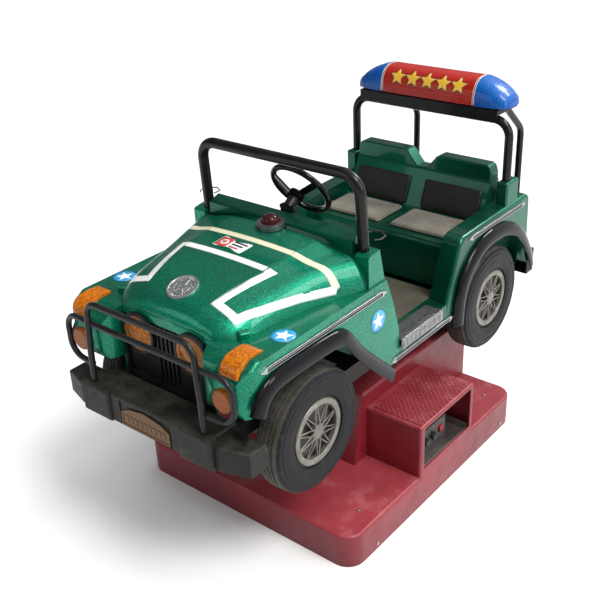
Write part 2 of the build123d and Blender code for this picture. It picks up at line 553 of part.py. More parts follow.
seat = seat - (hatch_edge & side_profile([(262, 636), (272, 700), (286, 786), (289.5, 786), (275.5, 700), (265.5, 636)],
                                         -220, 220))
seat = seat - both(cyl("x", (300, rear_axle_y, wheel_z), 216.3, 32.6))
save("seat_moulding", seat)


def cushion(x0, x1, y0, y1, z0, z1, r):
    pad = box(x0, x1, y0, y1, z0, z1)
    pad = soft(pad, 14, lambda e: e.filter_by(Axis.Z))
    return soft(pad, r, lambda e: e.group_by(Axis.Z)[-1])


pads = [cushion(s * 26, s * 286, 322, 498, 802.5, 818, 6) for s in (-1, 1)]
save("seat_pads", Compound(children=pads))
lean = math.degrees(math.atan2(938 - 808, 580 - 526))
backs = []
for s in (-1, 1):
    flat = cushion(-122, 122, -55, 55, 0, 14, 5)
    backs.append(Pos(s * 156, 547.6, 860) * Rot(lean, 0, 0) * Pos(0, 0, 0.8) * flat)
save("back_pads", Compound(children=backs))

treads = []
for s in (-1, 1):
    plate = box(s * 314.3, s * 384, -124, 128, sill_z - 1.7, sill_z + 1.3)
    lip = box(s * 380, s * 384, -124, 128, 600, sill_z - 1.7)
    ribs = [box(s * 316, s * 381, y, y + 3.4, sill_z + 1.3, sill_z + 3) for y in range(-118, 122, 8)]
    front_ribs = [box(s * 384, s * 385.5, y, y + 3.4, 604, sill_z - 4) for y in range(-118, 122, 8)]
    treads.append(joined([plate, lip] + ribs + front_ribs))
save("tread_plates", Compound(children=treads))


# ================================================================ side trims and flares
def trim(y0, y1, z, x_face):
    bar = box(x_face, x_face + 4, y0 + 24, y1 - 24, z - 9, z + 9)
    groove = box(x_face + 2.6, x_face + 5, y0 + 20, y1 - 20, z - 2, z + 2)
    out = bar - groove
    for a, b in ((y0, y0 + 26), (y1, y1 - 26)):
        out = out + side_profile([(a, z), (b, z - 11), (b, z + 11)], x_face, x_face + 5.5)
    return out


trims = []
for y0, y1, z in ((-800, -204, 852), (-176, 214, 575), (304, 724, 836)):
    one = trim(y0, y1, z, side_x + 0.3)
    trims += [one, mirror(one, about=Plane.YZ)]
save("side_trims", Compound(children=trims))

front_path = [(-840, 738), (-800, 794), (-768, 815), (-470, 817), (-418, 798), (-348, 704), (-262, 618), (-178, 540)]
rear_path = [(228, 524), (240, 648), (292, 732), (386, 788), (480, 802), (592, 786), (694, 728), (760, 648), (806, 552)]
flares = []
for path in (front_path, rear_path):
    lip = band(path, 13, side_x + 0.3, side_x + 24, 4)
    lip = soft(lip, 5, lambda e: e.filter_by(lambda k: k.center().X > side_x + 23))
    flares += [lip, mirror(lip, about=Plane.YZ)]
save("fender_flares", Compound(children=flares))

medal_seat = Pos(0, -706, 966.5) * Rot(18, 0, 0)
medal = medal_seat * (Cylinder(50, 7) + Pos(0, 0, 4) * (Cylinder(50, 2) - Cylinder(44, 3)))
for k in range(5):
    turn = Rot(0, 0, 90 + 72 * k)
    medal = medal + medal_seat * turn * Pos(22, 0, 3.8) * Box(26, 6, 2)
save("medallion", medal - hood_clear)

# ================================================================ front end
grille = box(-186, 186, -790, -784, 650, 868)
for x in range(-36, 37, 18):
    grille = grille + box(x - 3.5, x + 3.5, -797, -790, 690, 866)
grille = grille + box(-186, 186, -800, -784, 650, 672)
grille = grille + both(box(176, 187, -800, -784, 650, 868))
for s in (-1, 1):
    grille = grille - cyl("y", (s * 111, -790, 822), 62, 60) - cyl("y", (s * 111, -801, 822), 67.3, 10.6)
for x in range(-140, 141, 28):
    grille = grille + cyl("y", (x, -801, 661), 4, 3)
save("grille_panel", grille)
bezels, lenses = [], []
for s in (-1, 1):
    bezels.append(cyl("y", (s * 111, -801, 822), 67, 10) - cyl("y", (s * 111, -801, 822), 58, 20)
                  + cyl("y", (s * 111, -760, 822), 60, 72) - cyl("y", (s * 111, -764, 822), 57, 76))
    bowl = Sphere(92)
    bowl = bowl & Pos(0, -82, 0) * Box(200, 30, 200)
    bowl = Pos(s * 111, -801 + 75, 822) * bowl
    glass = cyl("y", (s * 111, -801, 822), 57.6, 8) + (bowl & cyl("y", (s * 111, -815, 822), 50, 40))
    lenses.append(glass)
save("headlamp_bezels", Compound(children=bezels))
save("headlamp_lenses", Compound(children=lenses))

bumper = plan_profile([(-388, -806), (-388, -878), (-300, -904), (300, -904), (388, -878), (388, -806)], 556, 634, 0)
bumper = soft(bumper, 10, lambda e: e.filter_by(Axis.Z).group_by(Axis.Y)[0] + e.group_by(Axis.Z)[-1])
inner = plan_profile([(-382, -800), (-382, -873), (-298, -898), (298, -898), (382, -873), (382, -800)], 550, 628, 0)
bumper = bumper - inner
centre = box(-268, 268, -912, -800, 556, 655)
centre = soft(centre, 8, lambda e: e.group_by(Axis.Z)[-1])
bumper = bumper + (centre - box(-262, 262, -906, -799, 550, 649))
for s in (-1, 1):
    guard = box(s * 150, s * 276, -922, -890, 552, 657)
    guard = soft(guard, 10, lambda e: e.filter_by(Axis.X).group_by(Axis.Y)[0] + e.filter_by(Axis.Z).group_by(Axis.Y)[0])
    bumper = bumper + (guard - box(s * 156, s * 270, -915, -880, 540, 651))
bumper = bumper - box(-110, 110, -920, -908.5, 556.5, 642)
for s in (-1, 1):
    bumper = bumper + box(s * 195, s * 245, -900, -640.2, 560, 600) - box(s * 200, s * 240, -896, -646, 565, 595)
    bumper = bumper + box(s * 195, s * 245, -690, -640.2, 536.5, 562)
    bumper = bumper - cyl("z", (s * 235.5, -895, 650), 11, 60)
save("front_bumper", bumper)
plate_face = front_profile([(-104, 560), (-104, 606), (-70, 624), (0, 636), (70, 624), (104, 606), (104, 560)], -908.6, -912)
rim_face = front_profile([(-104, 560), (-104, 606), (-70, 624), (0, 636), (70, 624), (104, 606), (104, 560)], -912, -914)
rim_cut = front_profile([(-98, 566), (-98, 602), (-68, 618), (0, 630), (68, 618), (98, 602), (98, 566)], -911, -915)
number_plate = plate_face + (rim_face - rim_cut)
for x in range(-80, 81, 20):
    number_plate = number_plate + box(x - 6, x + 6, -913.4, -912, 576, 600)
save("number_plate", number_plate)

bull = tube([(-236, -895, 622), (-232, -895, 760), (-219, -893, 934), (219, -893, 934), (232, -895, 760), (236, -895, 622)],
            46, 10, 7.5)
curl = [(-240, -886, 712), (-344, -880, 714), (-344, -880, 857), (-240, -886, 858), (240, -886, 858),
        (344, -880, 857), (344, -880, 714), (240, -886, 712)]
bull = bull + tube(curl, 52, 9.5, 7)
save("bull_bar", bull)

# ================================================================ tubes: screen frame and roll bar
screen = tube([(-post_x, post_y + 0.5, 960), (-screen_top_x, screen_top_y, screen_top_z),
               (screen_top_x, screen_top_y, screen_top_z), (post_x, post_y + 0.5, 960)], 62, screen_r, screen_r - 3)
save("windshield_frame", screen)
hoop = tube([(-hoop_x, hoop_y, 886), (-hoop_x, hoop_y, hoop_z), (hoop_x, hoop_y, hoop_z), (hoop_x, hoop_y, 886)],
            62, hoop_r, hoop_r - 2.5)
for s in (-1, 1):
    stay = tube([(s * stay_x, stay_y, 588), (s * stay_x, stay_y, 1052), (s * stay_x, 786, hoop_z),
                 (s * stay_x, hoop_y + 8, hoop_z)], 60, 13, 10.5)
    hoop = hoop + (stay - cyl("x", (0, hoop_y, hoop_z), hoop_r - 1, 600))
save("roll_bar", hoop)

rear = box(-372, 372, 792, 850, 506, 600) - box(-366, 366, 785, 844, 512, 594)
rear = soft(rear, 6, lambda e: e.filter_by(Axis.Z).group_by(Axis.Y)[-1])
rear = rear + (box(-262, 262, 850, 948, 560, 600) - box(-257, 257, 846, 943, 565, 595))
for s in (-1, 1):
    rear = rear + box(s * 196, s * 244, 690.5, 846, 530, 580) - box(s * 200, s * 240, 680, 842, 534, 576)
    rear = rear + box(s * 218, s * 258, 904, 944, 595, 612)
    rear = rear - cyl("z", (s * stay_x, stay_y, 616), 13.3, 60)
save("rear_bumper", rear)

tray = box(-300, 300, 602, 758, 1190.2, 1194) + box(-300, 300, 602, 606, 1168, 1208) + box(-300, 300, 754, 758, 1190.2, 1208)
tray = tray + both(box(296, 300, 602, 758, 1190.2, 1208))
tray = tray - cyl("x", (0, hoop_y, hoop_z), hoop_r + 0.3, 700)
save("light_bar_tray", tray)


def dome_solid(cut, x0, x1):
    """Barrel-topped light bar cover tapering toward both ends."""
    half = [(330, 650, 706, 1219), (324, 632, 722, 1240), (306, 616, 738, 1262), (276, 607, 750, 1284),
            (240, 603, 756, 1300), (200, 602, 758, 1309)]
    stations = [(-x, *rest) for x, *rest in half] + half[::-1]
    faces = []
    for x, ya, yb, zt in stations:
        ya, yb, zt = ya + cut, yb - cut, zt - cut
        zb = lens_z0 - (4 if cut else 0)
        m, h, d = (ya + yb) / 2, zt - zb, yb - ya
        crown = Spline((yb, zb), (yb - 0.04 * d, zb + h * 0.55), (yb - 0.22 * d, zb + h * 0.93), (m, zt),
                       (ya + 0.22 * d, zb + h * 0.93), (ya + 0.04 * d, zb + h * 0.55), (ya, zb))
        w = Wire([Line((ya, zb), (yb, zb)), crown])
        faces.append(Plane(origin=(x, 0, 0), x_dir=(0, 1, 0), z_dir=(1, 0, 0)) * make_face(w))
    solid = loft(faces, ruled=True)
    return solid & box(x0, x1, 500, 900, 1100, 1400)


red = dome_solid(0, -199.6, 199.6) - dome_solid(3, -197, 197)
red = red + (box(-199.6, 199.6, 602, 758, lens_z0 - 3, lens_z0) - box(-196, 196, 605, 755, lens_z0 - 4, lens_z0 + 1))
save("light_dome_red", red)
blue_half = dome_solid(0, 200, 350) - dome_solid(3, 203, 326)
save("light_dome_blue", Compound(children=[blue_half, mirror(blue_half, about=Plane.YZ)]))

# ================================================================ steering
wx, wy, wz = wheel_dish_c
steer_plane = Plane(origin=wheel_dish_c, x_dir=(1, 0, 0),
                    z_dir=(0, math.sin(math.radians(steer_tilt)), math.cos(math.radians(steer_tilt))))
rim = steer_plane * Torus(104, 10.5)
hub = steer_plane * Pos(0, 0, -30) * Cylinder(27, 20)
sw = rim + hub
for deg in (90, 210, 330):
    a = math.radians(deg)
    p0 = steer_plane.from_local_coords((22 * math.cos(a), 22 * math.sin(a), -28))
    p1 = steer_plane.from_local_coords((100 * math.cos(a), 100 * math.sin(a), -3))
    line = Line(p0, p1)
    spoke_plane = Plane(origin=p0, x_dir=steer_plane.from_local_coords((-math.sin(a), math.cos(a), 0)) -
                        steer_plane.from_local_coords((0, 0, 0)), z_dir=line % 0)
    sw = sw + sweep(spoke_plane * RectangleRounded(24, 6, 2.5), path=line)
sw = sw - steer_plane * Pos(0, 0, -34) * Cylinder(8 + run_fit, 20)
save("steering_wheel", sw)
column = steer_plane * (Pos(0, 0, -62) * Cylinder(19, 40) + Pos(0, 0, -42.5) * Cylinder(12, 3) +
                        Pos(0, 0, -54) * Cylinder(8, 58))
column = column + steer_plane * Pos(0, 0, -84) * Cylinder(30, 6) + box(-26, 26, -226, -208, 1000, 1062)
column = column - box(-60, 60, -400, -225.6, 900, 1100)
save("steering_column", column)

hooks = []
for s in (-1, 1):
    path = FilletPolyline((s * 316, -232.5, 1040), (s * 316, -204, 1040), (s * 346, -188, 1040), (s * 374, -206, 1040),
                          (s * 376, -238, 1040), (s * 364, -252, 1040), radius=8)
    hooks.append(sweep(Plane(origin=path @ 0, z_dir=path % 0) * Circle(2.2), path=path))
save("door_hooks", Compound(children=hooks))

# ================================================================ service bay
bay_x1 = base_half_w - wall - 4
tray = box(300, bay_x1, -112, 184, 140, 143) + box(300, 303, -112, 184, 143, 170) + box(bay_x1 - 3, bay_x1, -112, 184, 143, 149)
tray = tray + box(300, bay_x1, 181, 184, 143, 170) + box(300, bay_x1, -112, -109, 143, 170)
for y in (-90, 160):
    for x in (320, 440):
        tray = tray + box(x - 8, x + 8, y - 8, y + 8, 0, 140)
save("service_tray", tray)
cb = box(330, 428, -80, 90, 143.3, 248) - box(334, 425, -76, 86, 147, 244)
cb = cb - box(424, 430, -72, 82, 152, 240)
cb = cb + cyl("x", (324, 60, 200), 9, 12) - cyl("x", (324, 60, 200), 4.5, 40)
panel = box(428, 431, -80, 90, 143.3, 248)
knob_spots = {"timer_knob": (-44, 206), "volume_knob": (4, 206)}
for y, z in knob_spots.values():
    panel = panel - cyl("x", (430, y, z), 4.05, 20)
panel = panel - box(420, 440, 44, 68, 190, 222)
for y in (-72, 82):
    for z in (152, 240):
        panel = panel + cyl("x", (432, y, z), 3, 2)
for k in range(5):
    panel = panel - box(425, 440, -50 + 24 * k, -36 + 24 * k, 164, 168)
save("control_box", cb + panel)
for name, (y, z) in knob_spots.items():
    knob = cyl("x", (440, y, z), 15, 14)
    knob = soft(knob, 2, lambda e: e.filter_by(GeomType.CIRCLE))
    for k in range(12):
        a = math.radians(30 * k)
        knob = knob - cyl("x", (442, y + 16 * math.cos(a), z + 16 * math.sin(a)), 2.4, 16)
    knob = knob + cyl("x", (429, y, z), 4, 14) + box(446, 448, y - 1.2, y + 1.2, z, z + 13)
    save(name, knob)
rocker = cyl("y", (428, 56, 206), 13, 20) & box(424, 438, 44, 68, 192, 220)
save("mains_switch", rocker)
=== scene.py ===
import json
import math

import bmesh
import bpy
import numpy as np
from mathutils import Matrix, Vector


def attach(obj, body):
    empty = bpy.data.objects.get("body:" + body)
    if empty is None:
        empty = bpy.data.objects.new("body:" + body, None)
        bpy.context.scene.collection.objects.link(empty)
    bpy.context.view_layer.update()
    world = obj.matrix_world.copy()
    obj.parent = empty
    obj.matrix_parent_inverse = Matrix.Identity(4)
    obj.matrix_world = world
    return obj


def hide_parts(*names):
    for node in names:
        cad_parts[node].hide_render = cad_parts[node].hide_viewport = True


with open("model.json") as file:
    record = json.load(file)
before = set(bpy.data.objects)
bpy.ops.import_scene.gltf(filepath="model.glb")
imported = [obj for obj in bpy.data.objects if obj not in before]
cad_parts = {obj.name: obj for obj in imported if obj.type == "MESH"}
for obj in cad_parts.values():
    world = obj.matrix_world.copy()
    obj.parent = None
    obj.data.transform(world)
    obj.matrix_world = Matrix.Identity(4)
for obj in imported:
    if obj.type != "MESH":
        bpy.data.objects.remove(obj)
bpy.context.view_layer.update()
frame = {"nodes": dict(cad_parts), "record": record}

MM = 0.001
SIDES = ((1, "left"), (-1, "right"))
nodes = frame["nodes"]
scene = bpy.context.scene


# ---------------------------------------------------------------- material helper
MATS = {}


class Mat:
    """A node material being built, kept in MATS; methods that build nodes return an output socket."""

    def __init__(self, name, coords="Object", **sockets):
        material = bpy.data.materials.new(name)
        material.use_nodes = True
        MATS[name] = material
        self.tree = material.node_tree
        self.tree.nodes.clear()
        out = self.add("ShaderNodeOutputMaterial")
        self.shader = self.add("ShaderNodeBsdfPrincipled")
        self.tree.links.new(self.shader.outputs[0], out.inputs[0])
        self.co = self.add("ShaderNodeTexCoord").outputs[coords]
        self.set(**sockets)

    def add(self, kind, **props):
        n = self.tree.nodes.new(kind)
        for k, v in props.items():
            setattr(n, k, v)
        return n

    def put(self, socket, value):
        if isinstance(value, bpy.types.NodeSocket):
            self.tree.links.new(value, socket)
        elif isinstance(value, tuple) and socket.type == "RGBA":
            socket.default_value = (*value, 1)
        else:
            socket.default_value = value

    def set(self, **values):
        for k, v in values.items():
            self.put(self.shader.inputs[k.replace("_", " ")], v)

    def noise(self, scale, detail=4.0, rough=0.55, vec=None, dist=0.0):
        n = self.add("ShaderNodeTexNoise")
        self.put(n.inputs["Vector"], vec or self.co)
        n.inputs["Scale"].default_value = scale
        n.inputs["Detail"].default_value = detail
        n.inputs["Roughness"].default_value = rough
        n.inputs["Distortion"].default_value = dist
        return n.outputs[0]

    def cells(self, scale, feature="F1", out="Distance", metric="EUCLIDEAN"):
        n = self.add("ShaderNodeTexVoronoi", feature=feature)
        if feature != "DISTANCE_TO_EDGE":
            n.distance = metric
        self.put(n.inputs["Vector"], self.co)
        n.inputs["Scale"].default_value = scale
        return n.outputs[out]

    def stretch(self, x, y, z, rot=(0, 0, 0)):
        n = self.add("ShaderNodeMapping")
        self.put(n.inputs["Vector"], self.co)
        n.inputs["Rotation"].default_value = rot
        n.inputs["Scale"].default_value = (x, y, z)
        return n.outputs[0]

    def ramp(self, fac, *stops):
        n = self.add("ShaderNodeValToRGB")
        self.put(n.inputs[0], fac)
        ramp = n.color_ramp
        while len(ramp.elements) < len(stops):
            ramp.elements.new(0.5)
        for e, (place, level) in zip(ramp.elements, stops):
            e.position = place
            e.color = (level, level, level, 1)
        return n.outputs[0]

    def mask(self, value, lo, hi):
        """0 where the value is below lo, rising to 1 at hi."""
        return self.ramp(value, (lo, 0.0), (hi, 1.0))

    def spots(self, lo, hi, scale, detail, rough, vec=None):
        """Noise cut to a mask between lo and hi."""
        return self.mask(self.noise(scale, detail, rough, vec), lo, hi)

    def mix(self, fac, a, b):
        n = self.add("ShaderNodeMix", data_type="RGBA", blend_type="MIX")
        self.put(n.inputs[0], fac)
        self.put(n.inputs[6], a)
        self.put(n.inputs[7], b)
        return n.outputs[2]

    def over(self, colour, tint, mask, amount):
        """The colour with tint laid over it where the mask is."""
        return self.mix(self.math("MULTIPLY", mask, amount), colour, tint)

    def math(self, op, a, b=0.0):
        n = self.add("ShaderNodeMath", operation=op)
        self.put(n.inputs[0], a)
        self.put(n.inputs[1], b)
        return n.outputs[0]

    def axis(self, k, vec=None):
        n = self.add("ShaderNodeSeparateXYZ")
        self.put(n.inputs[0], vec or self.co)
        return n.outputs[k]

    def between(self, value, lo, hi, out_lo=0.0, out_hi=1.0):
        n = self.add("ShaderNodeMapRange")
        self.put(n.inputs["Value"], value)
        for k, v in zip(("From Min", "From Max", "To Min", "To Max"), (lo, hi, out_lo, out_hi)):
            n.inputs[k].default_value = v
        return n.outputs[0]

    def inside(self, value, lo, hi, edge=0.0004):
        """1 between lo and hi, with a soft edge."""
        return self.math("MULTIPLY", self.between(value, lo - edge, lo + edge),
                         self.between(value, hi - edge, hi + edge, 1.0, 0.0))

    def up(self):
        """1 where the surface faces up, 0 on walls and undersides."""
        g = self.add("ShaderNodeNewGeometry")
        return self.between(self.axis(2, g.outputs["Normal"]), 0.2, 0.95)

    def bump(self, height, depth, strength, normal=None):
        n = self.add("ShaderNodeBump")
        n.inputs["Distance"].default_value = depth
        n.inputs["Strength"].default_value = strength
        self.put(n.inputs["Height"], height)
        if normal:
            self.put(n.inputs["Normal"], normal)
        return n.outputs[0]

    def weave(self, pitch):
        """Fine over-and-under weave height."""
        turns = 2 * math.pi / pitch
        waves = [self.math("SINE", self.math("MULTIPLY", self.axis(k), turns)) for k in (0, 1, 2)]
        return self.math("MULTIPLY", self.math("ADD", waves[0], waves[2]), waves[1])


def scaled(colour, k):
    return tuple(k * c for c in colour)


# ---------------------------------------------------------------- paints and plastics
def flake_paint(name, deep, mid, spark, dust, flake=1.0, amount=1.0):
    """Metal flake under clear coat: two sizes of glitter, a drifting tone, dust on top and scuffs."""
    m = Mat(name, Metallic=0.72, Coat_Weight=0.4, Coat_Roughness=0.05, IOR=1.4, Specular_IOR_Level=0.25)
    speck = m.axis(0, m.cells(760 * flake, out="Color"))
    fine = m.axis(1, m.cells(1300 * flake, out="Color"))
    col = m.mix(m.spots(0.35, 0.68, 3.2, 3, 0.5), deep, mid)
    col = m.over(col, spark, m.mask(speck, 0.62, 0.98), 0.46 * amount)
    col = m.over(col, scaled(deep, 0.35), m.ramp(fine, (0.0, 1.0), (0.28, 0.0)), 0.30 * amount)
    grime = m.math("MULTIPLY", m.spots(0.46, 0.80, 9, 7, 0.68), m.up())
    col = m.over(col, dust, grime, 0.22)
    scuff = m.spots(0.70, 0.78, 1, 5, 0.7, m.stretch(60, 14, 40, (0.3, 0.2, 0.5)))
    col = m.over(col, (0.16, 0.30, 0.22), scuff, 0.16)
    rough = m.between(m.noise(16, 6, 0.65), 0.3, 0.8, 0.26, 0.46)
    rough = m.math("ADD", rough, m.math("MULTIPLY", grime, 0.18))
    normal = m.bump(m.noise(26, 3, 0.5), 0.0012, 0.12, m.bump(speck, 0.00035, 0.35 * amount))
    m.set(Base_Color=col, Roughness=rough, Normal=normal)


flake_paint("green_flake", (0.0002, 0.100, 0.060), (0.0004, 0.170, 0.098), (0.002, 0.82, 0.42),
            (0.06, 0.13, 0.10))
# A darker copy of the flake paint: painted shade for the tub, cowl and seat moulding.
flake_paint("green_flake_shaded", (0.0002, 0.052, 0.030), (0.0004, 0.105, 0.056), (0.002, 0.32, 0.16),
            (0.05, 0.09, 0.06), 1.2, 0.55)


def gloss_black(name, base, rough, coat, wear, wear_colour=(0.16, 0.15, 0.14), metallic=0.0, dusty=0.18):
    """Black paint or moulding with long scratches, and dust where it faces up."""
    m = Mat(name, Coat_Weight=coat, Coat_Roughness=0.06, Metallic=metallic, Specular_IOR_Level=0.12)
    grain = m.noise(14, 6, 0.65)
    scratch = m.spots(0.66, 0.76, 1, 6, 0.75, m.stretch(90, 25, 60, (0.5, 0.3, 0.2)))
    col = m.mix(m.mask(grain, 0.3, 0.75), base, scaled(base, 2.2))
    col = m.over(col, wear_colour, scratch, wear)
    dust = m.math("MULTIPLY", m.math("MULTIPLY", m.up(), m.spots(0.4, 0.75, 22, 7, 0.7)), dusty)
    col = m.mix(dust, col, (0.20, 0.19, 0.17))
    m.set(Base_Color=col, Roughness=m.math("ADD", m.between(grain, 0.25, 0.8, *rough), dust),
          Normal=m.bump(m.noise(160, 3, 0.5), 0.0003, 0.25))


gloss_black("black_gloss", (0.002, 0.002, 0.003), (0.05, 0.13), 0.09, 0.06, (0.05, 0.05, 0.05), dusty=0.02)
gloss_black("black_trim", (0.0035, 0.0035, 0.0035), (0.3, 0.5), 0.12, 0.2, (0.08, 0.075, 0.07), dusty=0.05)
gloss_black("dark_wire", (0.030, 0.028, 0.026), (0.3, 0.5), 0.1, 0.3, (0.12, 0.10, 0.08), 0.6, 0.05)
gloss_black("black_tube", (0.003, 0.003, 0.0035), (0.22, 0.40), 0.28, 0.22, (0.08, 0.075, 0.07), dusty=0.03)
gloss_black("bull_tube", (0.008, 0.008, 0.009), (0.30, 0.48), 0.25, 0.40, (0.13, 0.13, 0.13), 0.35, 0.10)
gloss_black("black_knob", (0.016, 0.016, 0.017), (0.35, 0.5), 0.1, 0.1)


def worn_plastic(name):
    """Dark bumper plastic, dusty on top and rubbed pale in patches."""
    m = Mat(name, Specular_IOR_Level=0.25)
    fine = m.noise(60, 6, 0.7)
    col = m.mix(m.spots(0.3, 0.72, 7, 6, 0.62), (0.005, 0.0055, 0.005), (0.014, 0.0145, 0.0125))
    dust = m.math("MULTIPLY", m.up(), m.spots(0.40, 0.66, 11, 7, 0.68))
    col = m.over(col, (0.062, 0.062, 0.046), dust, 0.60)
    rub = m.spots(0.60, 0.67, 5.5, 6, 0.72, m.stretch(1, 1.5, 1.4))
    col = m.over(col, (0.050, 0.052, 0.043), rub, 0.45)
    m.set(Base_Color=col, Roughness=m.between(fine, 0.3, 0.75, 0.42, 0.68), Normal=m.bump(fine, 0.0008, 0.45))


def red_base(name):
    """Red glass fibre: faded and worn on top, darker towards the floor, streaked and chipped."""
    m = Mat(name, Coat_Weight=0.22, Coat_Roughness=0.22, Specular_IOR_Level=0.3)
    big, mid, fine = m.noise(3.1, 6, 0.6), m.noise(13, 8, 0.66), m.noise(90, 5, 0.7)
    col = m.mix(m.mask(big, 0.30, 0.72), (0.120, 0.005, 0.011), (0.205, 0.010, 0.019))
    faded = m.math("MULTIPLY", m.up(), m.ramp(m.noise(4.2, 7, 0.62), (0.28, 0.25), (0.70, 1.0)))
    col = m.over(col, (0.40, 0.070, 0.082), faded, 0.55)
    worn = m.math("MULTIPLY", m.up(), m.mask(mid, 0.52, 0.72))
    col = m.over(col, (0.46, 0.22, 0.22), worn, 0.30)
    # darker towards the floor
    low = m.between(m.math("ADD", m.axis(2), m.math("MULTIPLY", big, 0.06)), 0.15, 0.02)
    col = m.over(col, (0.10, 0.012, 0.018), low, 0.42)
    streak = m.spots(0.56, 0.74, 1, 6, 0.7, m.stretch(26, 26, 3))
    col = m.over(col, (0.11, 0.030, 0.030), streak, 0.26)
    col = m.over(col, (0.42, 0.34, 0.30), m.spots(0.76, 0.80, 46, 4, 0.8), 0.55)
    m.set(Base_Color=col, Roughness=m.between(mid, 0.3, 0.75, 0.34, 0.60),
          Normal=m.bump(fine, 0.0006, 0.25, m.bump(m.noise(5, 2), 0.006, 0.22)))


def tyre_rubber(name):
    """Rubber with tan dirt on the tread, which the mesh marks with its own attribute."""
    m = Mat(name, Specular_IOR_Level=0.14)
    fine, mid = m.noise(70, 6, 0.7), m.noise(9, 6, 0.65)
    col = m.mix(m.mask(mid, 0.3, 0.75), (0.005, 0.0055, 0.0065), (0.013, 0.0135, 0.0145))
    tread = m.add("ShaderNodeAttribute", attribute_name="tread").outputs["Fac"]
    tan = m.mix(m.spots(0.35, 0.70, 18, 7, 0.7), (0.026, 0.025, 0.022), (0.100, 0.093, 0.076))
    col = m.over(col, tan, tread, 0.85)
    col = m.over(col, (0.17, 0.15, 0.12), m.spots(0.56, 0.76, 30, 8, 0.75), 0.22)
    m.set(Base_Color=col, Roughness=m.between(mid, 0.3, 0.8, 0.42, 0.66), Normal=m.bump(fine, 0.0005, 0.35))


worn_plastic("bumper_grey")
red_base("red_fibreglass")
tyre_rubber("tyre_rubber")


# ---------------------------------------------------------------- metals
def metal(name, tint, rough, dark, rust, metallic=1.0):
    m = Mat(name, Metallic=metallic)
    brushed = m.noise(1, 5, 0.65, m.stretch(140, 140, 140))
    col = m.mix(m.mask(brushed, 0.25, 0.8), scaled(tint, 0.82), tint)
    col = m.over(col, dark, m.spots(0.48, 0.74, 24, 7, 0.7), rust)
    m.set(Base_Color=col, Roughness=m.between(brushed, 0.25, 0.8, *rough), Normal=m.bump(brushed, 0.0003, 0.2))


metal("silver_badge", (0.58, 0.59, 0.60), (0.28, 0.42), (0.12, 0.13, 0.13), 0.40)
metal("zinc_steel", (0.50, 0.49, 0.46), (0.3, 0.5), (0.20, 0.10, 0.05), 0.4)
metal("bright_steel", (0.58, 0.57, 0.55), (0.25, 0.4), (0.16, 0.10, 0.06), 0.3)
metal("galvanised_sheet", (0.30, 0.28, 0.26), (0.4, 0.6), (0.13, 0.075, 0.045), 0.55)
metal("bronze_plate", (0.135, 0.072, 0.030), (0.32, 0.5), (0.06, 0.035, 0.02), 0.5, 0.7)
metal("cast_iron", (0.10, 0.11, 0.12), (0.5, 0.7), (0.09, 0.05, 0.03), 0.4, 0.4)
metal("gearbox_paint", (0.09, 0.13, 0.17), (0.4, 0.6), (0.05, 0.04, 0.03), 0.4, 0.1)
metal("motor_paint", (0.08, 0.12, 0.16), (0.4, 0.6), (0.05, 0.04, 0.03), 0.4, 0.1)
metal("frame_paint", (0.030, 0.030, 0.033), (0.4, 0.6), (0.08, 0.04, 0.02), 0.35, 0.1)
metal("control_paint", (0.035, 0.034, 0.034), (0.4, 0.6), (0.10, 0.08, 0.06), 0.35, 0.1)
metal("wheel_paint", (0.060, 0.058, 0.055), (0.45, 0.6), (0.09, 0.07, 0.05), 0.4, 0.2)
metal("old_chrome", (0.20, 0.20, 0.20), (0.22, 0.40), (0.04, 0.035, 0.03), 0.6, 0.8)

TRIM_RUNS = ((-0.774, -0.230, 0.852), (-0.150, 0.188, 0.575), (0.330, 0.698, 0.836))  # y from, y to, z (m)
LINE_OFF, LINE_HALF = 0.0036, 0.0024


def trim_metal(name):
    """Bright strips and arrow ends with two black lines let in."""
    m = Mat(name, Metallic=0.9)
    y, z = m.axis(1), m.axis(2)
    black = None
    for y0, y1, z0 in TRIM_RUNS:
        for mid in (z0 - LINE_OFF, z0 + LINE_OFF):
            one = m.math("MULTIPLY", m.inside(y, y0, y1), m.inside(z, mid - LINE_HALF, mid + LINE_HALF))
            black = one if black is None else m.math("ADD", black, one)
    brushed = m.noise(1, 5, 0.65, m.stretch(140, 14, 140))
    col = m.mix(m.mask(brushed, 0.25, 0.8), (0.30, 0.30, 0.32), (0.46, 0.46, 0.48))
    col = m.over(col, (0.07, 0.065, 0.06), m.spots(0.48, 0.74, 24, 7, 0.7), 0.35)
    col = m.mix(black, col, (0.008, 0.008, 0.010))
    m.set(Base_Color=col, Roughness=m.between(brushed, 0.25, 0.8, 0.16, 0.34),
          Normal=m.bump(brushed, 0.0003, 0.2))


RIB_PITCH, RIB_PHASE = 0.008, 1.118


def ribbed_tread(name):
    """Polished rib tops with painted shade between them, the ribs spaced along y."""
    m = Mat(name, Metallic=0.9)
    run = m.math("FRACT", m.math("DIVIDE", m.math("ADD", m.axis(1), RIB_PHASE), RIB_PITCH))
    wear = m.noise(1, 6, 0.7, m.stretch(60, 18, 60))
    col = m.mix(m.mask(wear, 0.3, 0.75), (0.34, 0.34, 0.35), (0.66, 0.66, 0.67))
    col = m.over(col, (0.08, 0.075, 0.07), m.spots(0.45, 0.72, 24, 7, 0.7), 0.35)
    # the gaps between the ribs are painted dark: painted shade
    col = m.mix(m.inside(run, 0.02, 0.42, 0.03), (0.055, 0.054, 0.052), col)
    m.set(Base_Color=col, Roughness=m.between(wear, 0.3, 0.8, 0.22, 0.45), Normal=m.bump(wear, 0.0003, 0.25))


DISH_X, WIRE_X = 0.3640, 0.3725


